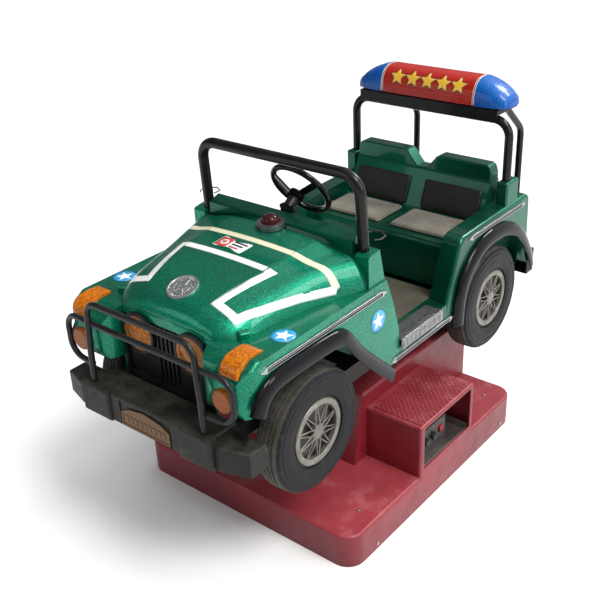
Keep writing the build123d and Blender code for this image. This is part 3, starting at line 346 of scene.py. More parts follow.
def spoke_cap(name):
    """Silvered wires and rim over the dish that lies deeper along the axle, painted dark as shade."""
    m = Mat(name, Specular_IOR_Level=0.5)
    front = m.between(m.math("ABSOLUTE", m.axis(0)), DISH_X, WIRE_X)
    stain = m.spots(0.44, 0.72, 34, 7, 0.7)
    col = m.mix(m.spots(0.3, 0.7, 12, 5, 0.55), (0.10, 0.094, 0.080), (0.23, 0.219, 0.190))
    col = m.over(col, (0.075, 0.060, 0.045), stain, 0.55)
    # painted shade: the deeper dish is made dark and not metallic
    col = m.mix(front, (0.018, 0.016, 0.015), col)
    m.set(Base_Color=col, Metallic=m.math("MULTIPLY", front, 0.55),
          Roughness=m.between(stain, 0, 1, 0.30, 0.55), Normal=m.bump(m.noise(150, 4), 0.0004, 0.3))


trim_metal("chrome_trim")
ribbed_tread("aluminium_tread")
spoke_cap("silver_wire")


# ---------------------------------------------------------------- lenses and light bar
def lens(name, deep, bright, pattern=170, rough=0.13):
    """Moulded lamp lens: a fine prism pattern under a glossy skin."""
    m = Mat(name, Coat_Weight=0.18, Coat_Roughness=0.04, IOR=1.45, Specular_IOR_Level=0.16)
    prism = m.cells(pattern, out="Distance")
    tone = m.noise(30, 4, 0.6)
    col = m.mix(m.mask(prism, 0.05, 0.65), bright, deep)
    col = m.mix(m.ramp(tone, (0.40, 0.0), (0.70, 0.7)), col, deep)
    col = m.over(col, (0.30, 0.16, 0.08), m.spots(0.50, 0.78, 60, 7, 0.72), 0.14)
    m.set(Base_Color=col, Roughness=m.between(tone, 0.3, 0.7, rough, rough + 0.14),
          Normal=m.bump(prism, 0.0010, 0.45))


lens("amber_lens", (0.36, 0.085, 0.003), (0.80, 0.26, 0.010))
lens("amber_glass", (0.22, 0.060, 0.002), (0.56, 0.190, 0.006), 120, 0.08)
lens("amber_dark", (0.17, 0.040, 0.001), (0.46, 0.115, 0.002), 240)
lens("red_lens", (0.022, 0.001, 0.003), (0.10, 0.004, 0.010), 260, 0.06)
lens("red_rocker", (0.20, 0.008, 0.010), (0.40, 0.02, 0.02), 500, 0.25)

TILE = 0.0125


def dome_paint(name, deep, bright, line):
    """Light bar cover: square tile lines drawn over the length and round the barrel (UV in metres)."""
    m = Mat(name, coords="UV", Coat_Weight=0.22, Coat_Roughness=0.06, Specular_IOR_Level=0.2)
    drawn = []
    for k in (0, 1):
        run = m.math("FRACT", m.math("DIVIDE", m.axis(k), TILE))
        drawn.append(m.mask(m.math("ABSOLUTE", m.math("SUBTRACT", run, 0.5)), 0.425, 0.475))
    lines = m.math("MAXIMUM", *drawn)
    tone = m.noise(9, 6, 0.65)
    col = m.mix(m.mask(tone, 0.30, 0.72), deep, bright)
    tile = m.axis(0, m.cells(1 / TILE, out="Color", metric="CHEBYCHEV"))
    col = m.over(col, bright, tile, 0.20)
    col = m.over(col, line, lines, 0.78)
    col = m.over(col, (0.50, 0.36, 0.32), m.spots(0.55, 0.80, 48, 7, 0.75), 0.10)
    m.set(Base_Color=col, Roughness=m.between(tone, 0.3, 0.8, 0.22, 0.40), Normal=m.bump(lines, -0.0006, 0.35))


dome_paint("red_dome", (0.27, 0.007, 0.003), (0.43, 0.016, 0.006), (0.16, 0.005, 0.004))
dome_paint("blue_dome", (0.001, 0.050, 0.27), (0.003, 0.125, 0.46), (0.001, 0.012, 0.08))


# ---------------------------------------------------------------- vinyl and stickers
def vinyl(name, deep, worn, grain, wear, rough, sheen, weave_pitch=0.0):
    """Grained cover with creases and stains, woven where a pitch is given."""
    m = Mat(name, Sheen_Weight=sheen, Sheen_Roughness=0.5, Specular_IOR_Level=0.4)
    pore = m.cells(grain, feature="DISTANCE_TO_EDGE")
    big = m.noise(6, 7, 0.68)
    col = m.mix(m.mask(big, *wear), deep, worn)
    col = m.over(col, scaled(deep, 0.42), m.spots(0.52, 0.78, 19, 7, 0.72), 0.42)
    crease = m.ramp(m.noise(1, 4, 0.6, m.stretch(28, 10, 16), 1.2), (0.48, 0.0), (0.52, 1.0), (0.56, 0.0))
    height = m.math("ADD", m.mask(pore, 0.0, 0.22), m.math("MULTIPLY", crease, -0.8))
    if weave_pitch:
        height = m.math("ADD", height, m.math("MULTIPLY", m.weave(weave_pitch), 0.6))
    m.set(Base_Color=col, Roughness=m.between(big, 0.3, 0.8, *rough),
          Normal=m.bump(height, 0.0006, 0.35, m.bump(m.noise(18, 3), 0.004, 0.25)))


vinyl("beige_vinyl", (0.070, 0.060, 0.042), (0.200, 0.175, 0.135), 240, (0.34, 0.62), (0.5, 0.72), 0.3, 0.0032)
vinyl("black_vinyl", (0.0045, 0.0038, 0.0038), (0.012, 0.010, 0.009), 210, (0.5, 0.8), (0.42, 0.62), 0.04)
vinyl("floor_rubber", (0.030, 0.025, 0.015), (0.075, 0.064, 0.040), 150, (0.3, 0.7), (0.6, 0.8), 0.1, 0.006)


def sticker(name, tint, dirt=(0.30, 0.28, 0.24), amount=0.22):
    m = Mat(name, Coat_Weight=0.35, Coat_Roughness=0.2)
    wear = m.spots(0.46, 0.74, 34, 7, 0.72)
    col = m.mix(m.spots(0.3, 0.7, 5, 4, 0.6), tint, scaled(tint, 0.86))
    col = m.over(col, dirt, wear, amount)
    m.set(Base_Color=col, Roughness=m.between(wear, 0, 1, 0.30, 0.60),
          Normal=m.bump(m.noise(120, 3), 0.0002, 0.3))


sticker("white_vinyl", (0.84, 0.85, 0.82), amount=0.08)
sticker("cream_vinyl", (0.74, 0.70, 0.50), (0.50, 0.42, 0.24), 0.35)
sticker("sky_vinyl", (0.012, 0.31, 0.62))
sticker("dark_vinyl", (0.020, 0.024, 0.030))
sticker("yellow_vinyl", (0.80, 0.47, 0.030), (0.45, 0.25, 0.05), 0.3)
sticker("outline_vinyl", (0.075, 0.022, 0.010))
sticker("red_vinyl", (0.56, 0.045, 0.040))


# ---------------------------------------------------------------- mesh helpers
def make(name, verts, faces, material, smooth, body="rocker", slot=None, uv=None, node=None):
    """A mesh piece in row-frame metres that rides on a body and may replace a CAD node."""
    me = bpy.data.meshes.new(name)
    me.from_pydata([tuple(v) for v in verts], [], faces)
    me.validate()
    if uv is not None:
        layer = me.uv_layers.new(name="UVMap")
        for loop in me.loops:
            layer.data[loop.index].uv = uv[loop.vertex_index]
    ob = bpy.data.objects.new(name, me)
    scene.collection.objects.link(ob)
    me.materials.append(MATS[material])
    shade_smooth(me, smooth)
    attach(ob, body)
    if node:
        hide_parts(node)
    return ob


def shade_smooth(me, sharp_from):
    me.polygons.foreach_set("use_smooth", [True] * len(me.polygons))
    me.set_sharp_from_angle(angle=math.radians(sharp_from))


def grid_faces(rows, cols, wrap_rows=False, wrap_cols=False):
    out = []
    for i in range(rows if wrap_rows else rows - 1):
        for j in range(cols if wrap_cols else cols - 1):
            a, b = i * cols + j, i * cols + (j + 1) % cols
            c, d = ((i + 1) % rows) * cols + (j + 1) % cols, ((i + 1) % rows) * cols + j
            out.append((a, b, c, d))
    return out


def fix_normals(ob):
    bm = bmesh.new()
    bm.from_mesh(ob.data)
    bmesh.ops.recalc_face_normals(bm, faces=bm.faces)
    bm.to_mesh(ob.data)
    bm.free()
    return ob


def modifier(ob, kind, **props):
    mod = ob.modifiers.new(kind.title(), kind)
    for k, v in props.items():
        setattr(mod, k, v)
    return mod


def bevel(ob, width, angle=30, segments=2):
    """Round the edges sharper than angle degrees; width in metres."""
    modifier(ob, "BEVEL", width=width, segments=segments, limit_method="ANGLE", angle_limit=math.radians(angle))


def thicken(ob, thickness, offset=1):
    modifier(ob, "SOLIDIFY", thickness=thickness, offset=offset)


def apply_all(ob):
    dg = bpy.context.evaluated_depsgraph_get()
    me = bpy.data.meshes.new_from_object(ob.evaluated_get(dg))
    old = ob.data
    ob.modifiers.clear()
    ob.data = me
    bpy.data.meshes.remove(old)


def plate(name, rings, material, width, **options):
    """Closed plate between two rings with the same number of points, its edges rounded by width."""
    n = len(rings[0])
    faces = grid_faces(2, n, wrap_cols=True) + [tuple(range(n, 2 * n)), tuple(range(n))[::-1]]
    ob = fix_normals(make(name, rings[0] + rings[1], faces, material, smooth=30, **options))
    if width:
        bevel(ob, width)


def arc_length(points):
    """Distance along a line of 2-D points, one value a point."""
    return np.concatenate([[0], np.cumsum(np.hypot(*np.diff(points, axis=0).T))])


def on_circle(r, degrees):
    return r * math.cos(math.radians(degrees)), r * math.sin(math.radians(degrees))


# ---------------------------------------------------------------- carried CAD nodes
SLOT = {s["node"]: s["material_slot"] for s in frame["record"]["subparts"]}
# The tub, cowl and seat moulding take the darker copy of the flake paint, as painted shade.
LOOK = {"tub": "green_flake_shaded", "cowl": "green_flake_shaded", "seat_moulding": "green_flake_shaded", "bull_bar": "bull_tube",
        "fender_lamps": "amber_dark", "headlamp_lenses": "amber_glass", "door_hooks": "dark_wire",
        "beacon_base": "old_chrome"}
ROUND = {"turn_signal_lenses": 3.2, "number_plate": 0.5}
EDGE, SHARP_DEG = 0.9, 32
for name, ob in nodes.items():
    ob.data.materials.clear()
    ob.data.materials.append(MATS[LOOK.get(name, SLOT[name])])
    modifier(ob, "WELD", merge_threshold=0.00002)
    bevel(ob, ROUND.get(name, EDGE) * MM, 45, 4 if name in ROUND else 2)
    shade_smooth(ob.data, SHARP_DEG)
    modifier(ob, "WEIGHTED_NORMAL", keep_sharp=True, weight=60)


# ---------------------------------------------------------------- bonnet skin
# station: y, centre z, crease x, crease z, shoulder x, shoulder z, foot x, foot z (mm)
HOOD = np.array([
    (-792, 900, 80, 898, 150, 889, 188, 872), (-783, 921, 92, 918, 162, 905, 202, 874),
    (-764, 941, 106, 938, 180, 920, 224, 877), (-734, 957, 122, 954, 198, 933, 246, 879),
    (-696, 969, 136, 966, 214, 942, 259, 880), (-620, 985, 152, 982, 232, 953, 271, 880),
    (-530, 999, 164, 994, 250, 962, 286, 880), (-430, 1009, 171, 1003, 276, 970, 309, 881),
    (-350, 1014, 176, 1007, 302, 973, 338, 883), (-292, 1016, 180, 1008, 325, 972, 362, 886)], float)
HOOD_SLOPE = np.gradient(HOOD, HOOD[:, 0], axis=0)
HOOD_YS = [-792, -789, -786, -783, -779, -774, -769, -764, -757, -750, -742, *np.linspace(-734, -292.6, 46)]
SKIN_LIFT = 0.9


def hermite(x, xs, ys, slopes):
    i = int(np.clip(np.searchsorted(xs, x) - 1, 0, len(xs) - 2))
    h = xs[i + 1] - xs[i]
    t = np.clip((x - xs[i]) / h, 0, 1)
    return ((2 * t ** 3 - 3 * t ** 2 + 1) * ys[i] + (t ** 3 - 2 * t ** 2 + t) * h * slopes[i]
            + (3 * t ** 2 - 2 * t ** 3) * ys[i + 1] + (t ** 3 - t ** 2) * h * slopes[i + 1])


def hood_half(y):
    """Half section of the bonnet as (x, z) points from the middle to the foot."""
    _, z0, xc, zc, xs, zs, xj, zj = hermite(y, HOOD[:, 0], HOOD, HOOD_SLOPE)
    pts = [(xc * t, z0 - (z0 - zc) * t * t) for t in np.linspace(0, 1, 15)]
    flank = np.array([(xc, zc), ((xc + xs) / 2, (zc + zs) / 2 + 1.2), (xs, zs),
                      (xs + (xj - xs) * 0.62, zs - (zs - zj) * 0.42), (xj, zj)])
    run = arc_length(flank)
    slope = np.gradient(flank, run, axis=0)
    pts += [tuple(hermite(s, run, flank, slope)) for s in np.linspace(0, run[-1], 33)[1:]]
    return np.array(pts)


def hood_point(s, y, lift):
    """Point on the bonnet, s mm round the section from the middle, y along it, raised by lift mm."""
    half = hood_half(y)
    run = arc_length(half)
    a = min(abs(s), run[-1])
    (x, z), (x1, z1), (x0, z0) = [(np.interp(d, run, half[:, 0]), np.interp(d, run, half[:, 1]))
                                  for d in (a, min(a + 3, run[-1]), max(a - 3, 0))]
    tx, tz = x1 - x0, z1 - z0
    n = math.hypot(tx, tz)
    x, z = x - tz / n * lift, z + tx / n * lift
    return Vector((math.copysign(x, s) if s else 0.0, y, z)) * MM


def hood_s(x, y):
    """Distance round the section at which the bonnet is x wide."""
    half = hood_half(y)
    return float(np.interp(abs(x), half[:, 0], arc_length(half)))


def bonnet_skin():
    verts = []
    for y in HOOD_YS:
        ring = [hood_point(s, y, SKIN_LIFT) for s in arc_length(hood_half(y))]
        verts += [Vector((-p.x, p.y, p.z)) for p in ring[:0:-1]] + ring
    faces = grid_faces(len(HOOD_YS), len(verts) // len(HOOD_YS))
    ob = make("bonnet_skin", verts, faces, "green_flake", slot="green_flake", smooth=50)
    thicken(fix_normals(ob), 0.0007, -1)


bonnet_skin()

# ---------------------------------------------------------------- bonnet stripes
STRIPE_W, STRIPE_STEP, STRIPE_COLS = 25, 7, 5


def stripe(name, points, lift, material):
    """Mitred band of constant width along an open line of (distance round the bonnet, y) points."""
    pts = [Vector(p) for p in points]
    runs = [(b - a).normalized() for a, b in zip(pts, pts[1:])]
    mitres = []
    for d0, d1 in zip(runs[:1] + runs, runs + runs[-1:]):
        n0, n1 = Vector((-d0.y, d0.x)), Vector((-d1.y, d1.x))
        m = (n0 + n1).normalized()
        mitres.append(m * (STRIPE_W / 2 / max(0.25, m.dot(n0))))
    rows = []
    for i, (a, b) in enumerate(zip(pts, pts[1:])):
        steps = max(1, round((b - a).length / STRIPE_STEP))
        last = i == len(runs) - 1
        rows += [(a.lerp(b, k / steps), mitres[i].lerp(mitres[i + 1], k / steps)) for k in range(steps + last)]
    verts = []
    for c, s in rows:
        for q in range(STRIPE_COLS):
            p = c + s * (2 * q / (STRIPE_COLS - 1) - 1)
            verts.append(hood_point(p.x, p.y, lift))
    thicken(make(name, verts, grid_faces(len(rows), STRIPE_COLS), material, smooth=50), 0.00022)


BOLT = [(183, -521, -521), (142, -712, -712), (217, -716, -717), (243, -644, -644), (278, -507, -507),
        (318, -384, -384)]  # x on the bonnet, the y it is read at, y
bolt = [(hood_s(x, at), y) for x, at, y in BOLT]
rear = [(hood_s(x, y), y) for x, y in ((298, -390), (262, -398), (215, -404), (150, -407))] + [(70, -408)]
stripe("bonnet_bolt_white", [(-s, y) for s, y in bolt[::-1]] + bolt, 1.15, "white_vinyl")
stripe("bonnet_stripe_cream", bolt[-1:] + rear + [(-s, y) for s, y in rear[::-1] + bolt[-1:]], 1.10, "cream_vinyl")


# ---------------------------------------------------------------- stickers
def disc_faces(outline, rings, place):
    """Fan of rings from an outline to its middle; place maps (u, v) to a point."""
    n, verts = len(outline), []
    for r in range(rings):
        k = 1 - r / rings
        verts += [place(u * k, v * k) for u, v in outline]
    verts.append(place(0, 0))
    faces = grid_faces(rings, n, wrap_cols=True)
    faces += [((rings - 1) * n + j, (rings - 1) * n + (j + 1) % n, len(verts) - 1) for j in range(n)]
    return verts, faces


def star_outline(r, inner, sub=4):
    corners = [on_circle(r * (inner if k % 2 else 1), 90 + 36 * k) for k in range(10)]
    return [(a[0] + (b[0] - a[0]) * t / sub, a[1] + (b[1] - a[1]) * t / sub)
            for a, b in zip(corners, corners[1:] + corners[:1]) for t in range(sub)]


def round_outline(r, n=56):
    return [(r * math.cos(2 * math.pi * k / n), r * math.sin(2 * math.pi * k / n)) for k in range(n)]


def rounded(w, h, r, n=7):
    """Rectangle of half sizes w and h with corner radius r and n steps a corner."""
    pts = []
    for cx, cy, a0 in ((w - r, h - r, 0), (-w + r, h - r, 90), (-w + r, -h + r, 180), (w - r, -h + r, 270)):
        for k in range(n + 1):
            x, y = on_circle(r, a0 + 90 * k / n)
            pts.append((cx + x, cy + y))
    return pts


def patch(name, outline, place, material, rings=3):
    verts, faces = disc_faces(outline, rings, place)
    thicken(make(name, verts, faces, material, smooth=50), 0.0002)


def badge(tag, place, r):
    """Round blue sticker: dark edge, sky field, white star."""
    patch(f"star_edge_{tag}", round_outline(r), lambda u, v: place(u, v, 0.25), "dark_vinyl")
    patch(f"star_field_{tag}", round_outline(r - 1.8), lambda u, v: place(u, v, 0.5), "sky_vinyl")
    patch(f"star_white_{tag}", star_outline(0.80 * r, 0.43), lambda u, v: place(u, v, 0.75), "white_vinyl")


for s, tag in SIDES:
    badge(f"wing_{tag}", lambda u, v, h: Vector((s * (332 - v), -651 + s * u, 888 + h)) * MM, 38.5)
    badge(f"side_{tag}", lambda u, v, h: Vector((s * (373 + h), -247 + s * u, 763 + v)) * MM, 39.5)

STICKER_TURN = math.radians(-4)
SHEET, SEAL = (-24, -462), (-58, -460)


def on_hood(u0, y0, lift):
    c, d = math.cos(STICKER_TURN), math.sin(STICKER_TURN)
    return lambda u, v: hood_point(u0 + u * c - v * d, y0 + u * d + v * c, lift)


patch("sticker_sheet", rounded(62, 30, 4, 4), on_hood(*SHEET, 1.0), "white_vinyl", 6)
patch("sticker_block", rounded(24, 26, 3, 4), on_hood(*SEAL, 1.25), "red_vinyl", 4)
patch("sticker_ring", round_outline(15, 32), on_hood(*SEAL, 1.5), "white_vinyl")
patch("sticker_star", star_outline(13, 0.45), on_hood(*SEAL, 1.75), "red_vinyl")
for row, tint in enumerate(("dark_vinyl", "dark_vinyl", "red_vinyl")):
    patch(f"sticker_bar_{row}", rounded(29 - 5 * row, 4, 1.5, 3), on_hood(2 - 4 * row, -448 - 15 * row, 1.25),
          tint, 2)


# ---------------------------------------------------------------- embossed step mats and medal relief
PAD_TAPER = 0.82


def pads(name, boxes, place, height, material, body):
    """Low raised pads with drawn-in tops; a box is (u, v, half u, half v, turn in degrees)."""
    verts, faces = [], []
    for u, v, a, b, turn in boxes:
        c, d = math.cos(math.radians(turn)), math.sin(math.radians(turn))
        n = len(verts)
        for z, k in ((0.0, 1.0), (height, PAD_TAPER)):
            verts += [place(u + (x * a * c - y * b * d) * k, v + (x * a * d + y * b * c) * k, z)
                      for x, y in ((-1, -1), (1, -1), (1, 1), (-1, 1))]
        faces += [(n + 3, n + 2, n + 1, n), (n + 4, n + 5, n + 6, n + 7)]
        faces += [(n + k, n + (k + 1) % 4, n + 4 + (k + 1) % 4, n + 4 + k) for k in range(4)]
    ob = make(name, verts, faces, material, body=body, slot=material, smooth=30)
    bevel(fix_normals(ob), 0.0004, 25)


BRICK_U, BRICK_V = 22.0, 10.6
STEP_X, STEP_Y = 364, 35.5
SHEET_Z = (332.4, 333.9)
for s, tag in SIDES:
    rings = [[Vector((s * (STEP_X + u), STEP_Y + v, z)) * MM for u, v in rounded(97, 161, 5, 3)] for z in SHEET_Z]
    plate(f"step_sheet_{tag}", rings, "red_fibreglass", 0, body="base", slot="red_fibreglass")
    bricks = [(-84 + BRICK_U * i + (BRICK_U / 2 if j % 2 else 0), -154 + BRICK_V * j, 9.6, 4.2, 0)
              for j in range(30) for i in range(8 if j % 2 else 9)]
    pads(f"step_bricks_{tag}", bricks,
         lambda u, v, z: Vector((s * (STEP_X + u), STEP_Y + v, SHEET_Z[1] + z)) * MM, 1.5,
         "red_fibreglass", "base")

MEDAL = Vector((0, -706, 966.5))
MEDAL_TILT = Matrix.Rotation(math.radians(18), 3, "X")
TICKS = ((39.5, 3.2, 0.9, range(0, 360, 10), 0), (27, 1.1, 5.4, range(0, 360, 24), 0),
         (15, 4.5, 1.3, range(18, 378, 36), 45))  # radius, half u, half v, angles, extra turn
pads("medal_relief", [(*on_circle(r, a), hu, hv, a + extra) for r, hu, hv, angles, extra in TICKS for a in angles],
     lambda u, v, z: (MEDAL + MEDAL_TILT @ Vector((u, v, 3.4 + z))) * MM, 1.3, "silver_badge", "rocker")

# ---------------------------------------------------------------- tyres
WHEELS = {"front_left": (1, -571), "front_right": (-1, -571), "rear_left": (1, 480), "rear_right": (-1, 480)}
WHEEL_X, WHEEL_Z, TYRE_STEPS = 340, 534, 240
SERRATION, ZIGZAG = 3.2, 1.6
# half profile from the bead outwards: offset from the wheel's middle, radius (mm)
WALL = [(37.5, 116.2), (41.5, 116.4), (44.2, 118.5), (45.4, 122), (44.8, 125), (46.4, 129), (47.4, 138),
        (47.8, 150), (47.4, 160), (46.6, 166), (47.4, 167.5), (47.5, 170), (46.4, 171.5), (45.6, 176),
        (44.6, 181), (45.2, 182.5), (44.8, 185), (42.6, 188), (40.2, 191.5)]
NOTCH = [(38.8, 192.5), (36.8, 194.6), (34.8, 196.0)]
TREAD = [(33.0, 197.6), (24.5, 199.2), (23.6, 195.2), (20.4, 195.5), (19.5, 199.7), (9.5, 200.0),
         (8.6, 195.8), (5.4, 195.9), (4.5, 200.0)]


def tyre(where, s, y0):
    """Tyre with a serrated shoulder and zigzag grooves; the tread attribute marks the dirty part."""
    prof = [(*p, dirty, cut) for line, dirty, cut in ((WALL, 0.0, 0), (NOTCH, 0.55, 1), (TREAD, 1.0, 0))
            for p in line]
    prof += [(-a, *rest) for a, *rest in prof[::-1]]
    prof += [(-37.5, 112, 0.0, 0), (37.5, 112, 0.0, 0)]
    verts, weight = [], []
    for k in range(TYRE_STEPS):
        a = 2 * math.pi * k / TYRE_STEPS
        for off, r, dirty, cut in prof:
            r = r - (SERRATION if cut and k % 2 else 0)
            zig = ZIGZAG if dirty == 1.0 and abs(off) < 26 and (k // 3) % 2 else 0.0
            off = off + math.copysign(zig, off)
            verts.append(Vector((s * (WHEEL_X + off), y0 + r * math.cos(a), WHEEL_Z + r * math.sin(a))) * MM)
            weight.append(dirty)
    faces = grid_faces(TYRE_STEPS, len(prof), wrap_rows=True, wrap_cols=True)
    ob = make(f"tyre_tread_{where}", verts, faces, "tyre_rubber", body=f"wheel_{where}_body",
              slot="tyre_rubber", node=f"tyre_{where}", smooth=38)
    ob.data.attributes.new("tread", "FLOAT", "POINT").data.foreach_set("value", weight)
    fix_normals(ob)


for where, (s, y0) in WHEELS.items():
    tyre(where, s, y0)

# ---------------------------------------------------------------- arch flares
# section: x, distance out from the arch line (mm)
FLARE = [(373.4, 16.0), (376.0, 18.0), (381.0, 17.5), (387.0, 13.0), (391.5, 5.0), (394.5, -5.0),
         (396.3, -16.0), (396.6, -25.0), (395.4, -30.5), (392.6, -31.0), (391.4, -25.0), (390.0, -16.0),
         (387.0, -5.0), (381.0, 4.0), (373.4, 9.0)]
ARCHES = {
    "flare_front": [(-840, 738), (-822, 772), (-797, 798), (-760, 815), (-700, 821), (-600, 822), (-500, 819),
                    (-452, 811), (-418, 791), (-348, 704), (-262, 618), (-178, 541)],
    "flare_rear": [(226, 530), (230, 590), (243, 655), (270, 708), (312, 752), (372, 787), (430, 802), (490, 805),
                   (560, 797), (640, 766), (706, 716), (752, 658), (786, 604), (806, 554)]}  # y, z (mm)


def through(points, n):
    """Smooth curve through the points, n steps a span."""
    pts = [Vector(p) for p in points]
    pts = [2 * pts[0] - pts[1]] + pts + [2 * pts[-1] - pts[-2]]
    out = []
    for a, b, c, d in zip(pts, pts[1:], pts[2:], pts[3:]):
        for k in range(n):
            t = k / n
            out.append(0.5 * (2 * b + (c - a) * t + (2 * a - 5 * b + 4 * c - d) * t * t
                              + (3 * b - a - 3 * c + d) * t ** 3))
    return out + [pts[-2]]


def flare(name, line, s):
    verts = []
    for i, p in enumerate(line):
        d = (line[min(i + 1, len(line) - 1)] - line[max(i - 1, 0)]).normalized()
        out = Vector((-d.y, d.x))
        verts += [Vector((s * x, p.x + out.x * n, p.y + out.y * n)) * MM for x, n in FLARE]
    cols = len(FLARE)
    faces = grid_faces(len(line), cols, wrap_cols=True)
    faces += [tuple(range(cols))[::-1], tuple(range(len(verts) - cols, len(verts)))]
    fix_normals(make(name, verts, faces, "black_gloss", slot="black_gloss", node="fender_flares", smooth=50))


for arch, path in ARCHES.items():
    for s, tag in SIDES:
        flare(f"{arch}_{tag}", through(path, 10), s)

# ---------------------------------------------------------------- light bar covers
# station: x, front y, rear y, crown z (mm)
BAR = np.array([(0, 602, 758, 1309), (120, 602, 758, 1309), (200, 602, 758, 1309), (240, 603, 756, 1300),
                (276, 607, 750, 1284), (306, 616, 738, 1262), (324, 632, 722, 1240), (330, 650, 706, 1219)],
               float)
BAR_SLOPE = np.gradient(BAR, BAR[:, 0], axis=0)
BAR_SLOPE[:3] = (1, 0, 0, 0)
BAR_Z, BAR_POWER, BAR_END = 1213.3, 2.7, 329.9
BAR_COLS = 40


def bar_point(x, t, lift=0.0):
    """t runs from 0 at the front lower edge over the crown to 1 at the rear lower edge."""
    _, ya, yb, zt = hermite(min(abs(x), BAR_END), BAR[:, 0], BAR, BAR_SLOPE)
    a = math.pi * (1 - t)
    c, q = math.cos(a), math.sin(a)
    m, d, h = (ya + yb) / 2, (yb - ya) / 2 - 0.6, zt - BAR_Z - 0.9
    y = m + (d + lift) * math.copysign(abs(c) ** (2 / BAR_POWER), c)
    return Vector((x, y, BAR_Z + (h + lift) * max(q, 0.0) ** (2 / BAR_POWER))) * MM


def bar_steps(n=200):
    """The t values that split the section into equal lengths, and its whole length in metres."""
    pts = [bar_point(0.0, k / n) for k in range(n + 1)]
    run = np.concatenate([[0], np.cumsum([(b - a).length for a, b in zip(pts, pts[1:])])])
    return [float(np.interp(k / BAR_COLS * run[-1], run, np.linspace(0, 1, n + 1)))
            for k in range(BAR_COLS + 1)], run[-1]


BAR_TS, BAR_ARC = bar_steps()


def dome(name, x0, x1, material, node):
    xs = np.linspace(x0, x1, max(8, round(abs(x1 - x0) / 6)))
    verts, uv = [], []
    for x in xs:
        for k, t in enumerate(BAR_TS):
            verts.append(bar_point(float(x), t))
            uv.append((x * MM + 0.5, BAR_ARC * k / BAR_COLS + 0.006))
    cols = len(BAR_TS)
    last = len(verts) - cols
    faces = grid_faces(len(xs), cols)
    faces += [tuple(range(cols))[::-1], tuple(range(last, len(verts)))]
    faces += [(i, i + cols, i + 2 * cols - 1, i + cols - 1) for i in range(0, last, cols)]
    ob = make(name, verts, faces, material, slot=material, uv=uv, node=node, smooth=35)
    bevel(fix_normals(ob), 0.0012, 50)


dome("bar_cover_red", -199.4, 199.4, "red_dome", "light_dome_red")
dome("bar_cover_blue_left", 200.4, 329.6, "blue_dome", "light_dome_blue")
dome("bar_cover_blue_right", -329.6, -200.4, "blue_dome", "light_dome_blue")
for s, tag in SIDES:
    for j, (x, tint) in enumerate(((196.5, "cream_vinyl"), (202.5, "white_vinyl"))):
        verts = [bar_point(s * (x + dx), 0.004 + 0.992 * k / 60, 0.25) for k in range(61) for dx in (-1.0, 1.0)]
        thicken(make(f"bar_line_{tag}_{j}", verts, grid_faces(61, 2), tint, smooth=60), 0.00025)


def on_bar(x0, frac0, lift):
    """Place (u along x, v up the front face) on the barrel, v measured by length from frac0 of the section."""
    def place(u, v):
        f = frac0 + v * MM / BAR_ARC
        return bar_point(x0 + u, float(np.interp(f * BAR_COLS, range(BAR_COLS + 1), BAR_TS)), lift)
    return place


STAR_FRAC = 0.225
for i, x in enumerate((-132, -66, 0, 66, 132)):
    patch(f"bar_star_outline_{i}", star_outline(39, 0.50), on_bar(x, STAR_FRAC, 0.3), "outline_vinyl", 5)
    patch(f"bar_star_{i}", star_outline(32.5, 0.48), on_bar(x, STAR_FRAC, 0.6), "yellow_vinyl", 5)

# ---------------------------------------------------------------- seat and back cushions
PAD_CORNER, PULL, TOP_RINGS = 15, 1.6, 8
WELT_IN, WELT_R = 9, 0.0016
# share of the wall height, growth of the outline (mm)
PAD_WALL = [(0.0, -1.5), (0.25, 0.0), (0.55, -0.3), (0.80, -2.2), (0.95, -6.0), (1.0, -11.0)]


def cushion(name, place, w, h, deep, crown, material, node):
    """Crowned pad: flat back, sides drawn in between the corners, a sewn welt round the front edge."""
    wall = deep - crown
    verts = []
    for z, grow in PAD_WALL:
        for u, v in rounded(w, h, PAD_CORNER):
            pull = PULL * (1 - (u / w) ** 2) * (abs(v) / h) + PULL * (1 - (v / h) ** 2) * (abs(u) / w)
            k = 1 + (grow - pull) / min(w, h)
            verts.append((u * k, v * k, z * wall))
    n = len(verts) // len(PAD_WALL)
    rim = verts[-n:]
    for r in range(1, TOP_RINGS):
        k = 1 - r / TOP_RINGS
        verts += [(u * k, v * k, wall + crown * (1 - k * k) ** 0.8) for u, v, _ in rim]
    faces = grid_faces(len(verts) // n, n, wrap_cols=True)
    verts.append((0, 0, deep))
    faces += [(len(verts) - 1 - n + j, len(verts) - 1 - n + (j + 1) % n, len(verts) - 1) for j in range(n)]
    faces.append(tuple(range(n))[::-1])
    ob = make(name, [place(*p) for p in verts], faces, material, slot=material, node=node, smooth=70)
    fix_normals(ob)
    inflate(ob)
    welt(f"{name}_welt", [place(u * (w - WELT_IN) / w, v * (h - WELT_IN) / h, wall + 0.8)
                          for u, v in rounded(w, h, PAD_CORNER, 9)], material)


VOXEL, SWELL_CAP, SWELL_SHARE, LAST_FRAME = 0.005, 0.005, 0.55, 20


def inflate(ob):
    """Cloth swells the pad a little, and no point moves further than a share of the cap."""
    modifier(ob, "REMESH", mode="VOXEL", voxel_size=VOXEL, use_smooth_shade=True)
    apply_all(ob)
    start = np.array([v.co for v in ob.data.vertices])
    cloth = modifier(ob, "CLOTH")
    cloth.settings.use_pressure = True
    cloth.settings.uniform_pressure_force = 4
    cloth.settings.effector_weights.gravity = 0
    cloth.settings.quality = 4
    for f in range(1, LAST_FRAME + 1):
        scene.frame_set(f)
    apply_all(ob)
    move = np.array([v.co for v in ob.data.vertices]) - start
    scene.frame_set(1)
    far = np.linalg.norm(move, axis=1, keepdims=True)
    end = start + move * np.minimum(1, SWELL_CAP / np.maximum(far, 1e-9)) * SWELL_SHARE
    ob.data.vertices.foreach_set("co", end.astype(np.float32).ravel())
    ob.data.polygons.foreach_set("use_smooth", [True] * len(ob.data.polygons))
    modifier(ob, "SMOOTH", iterations=2, factor=0.4)
    modifier(ob, "SUBSURF", levels=1, render_levels=1)


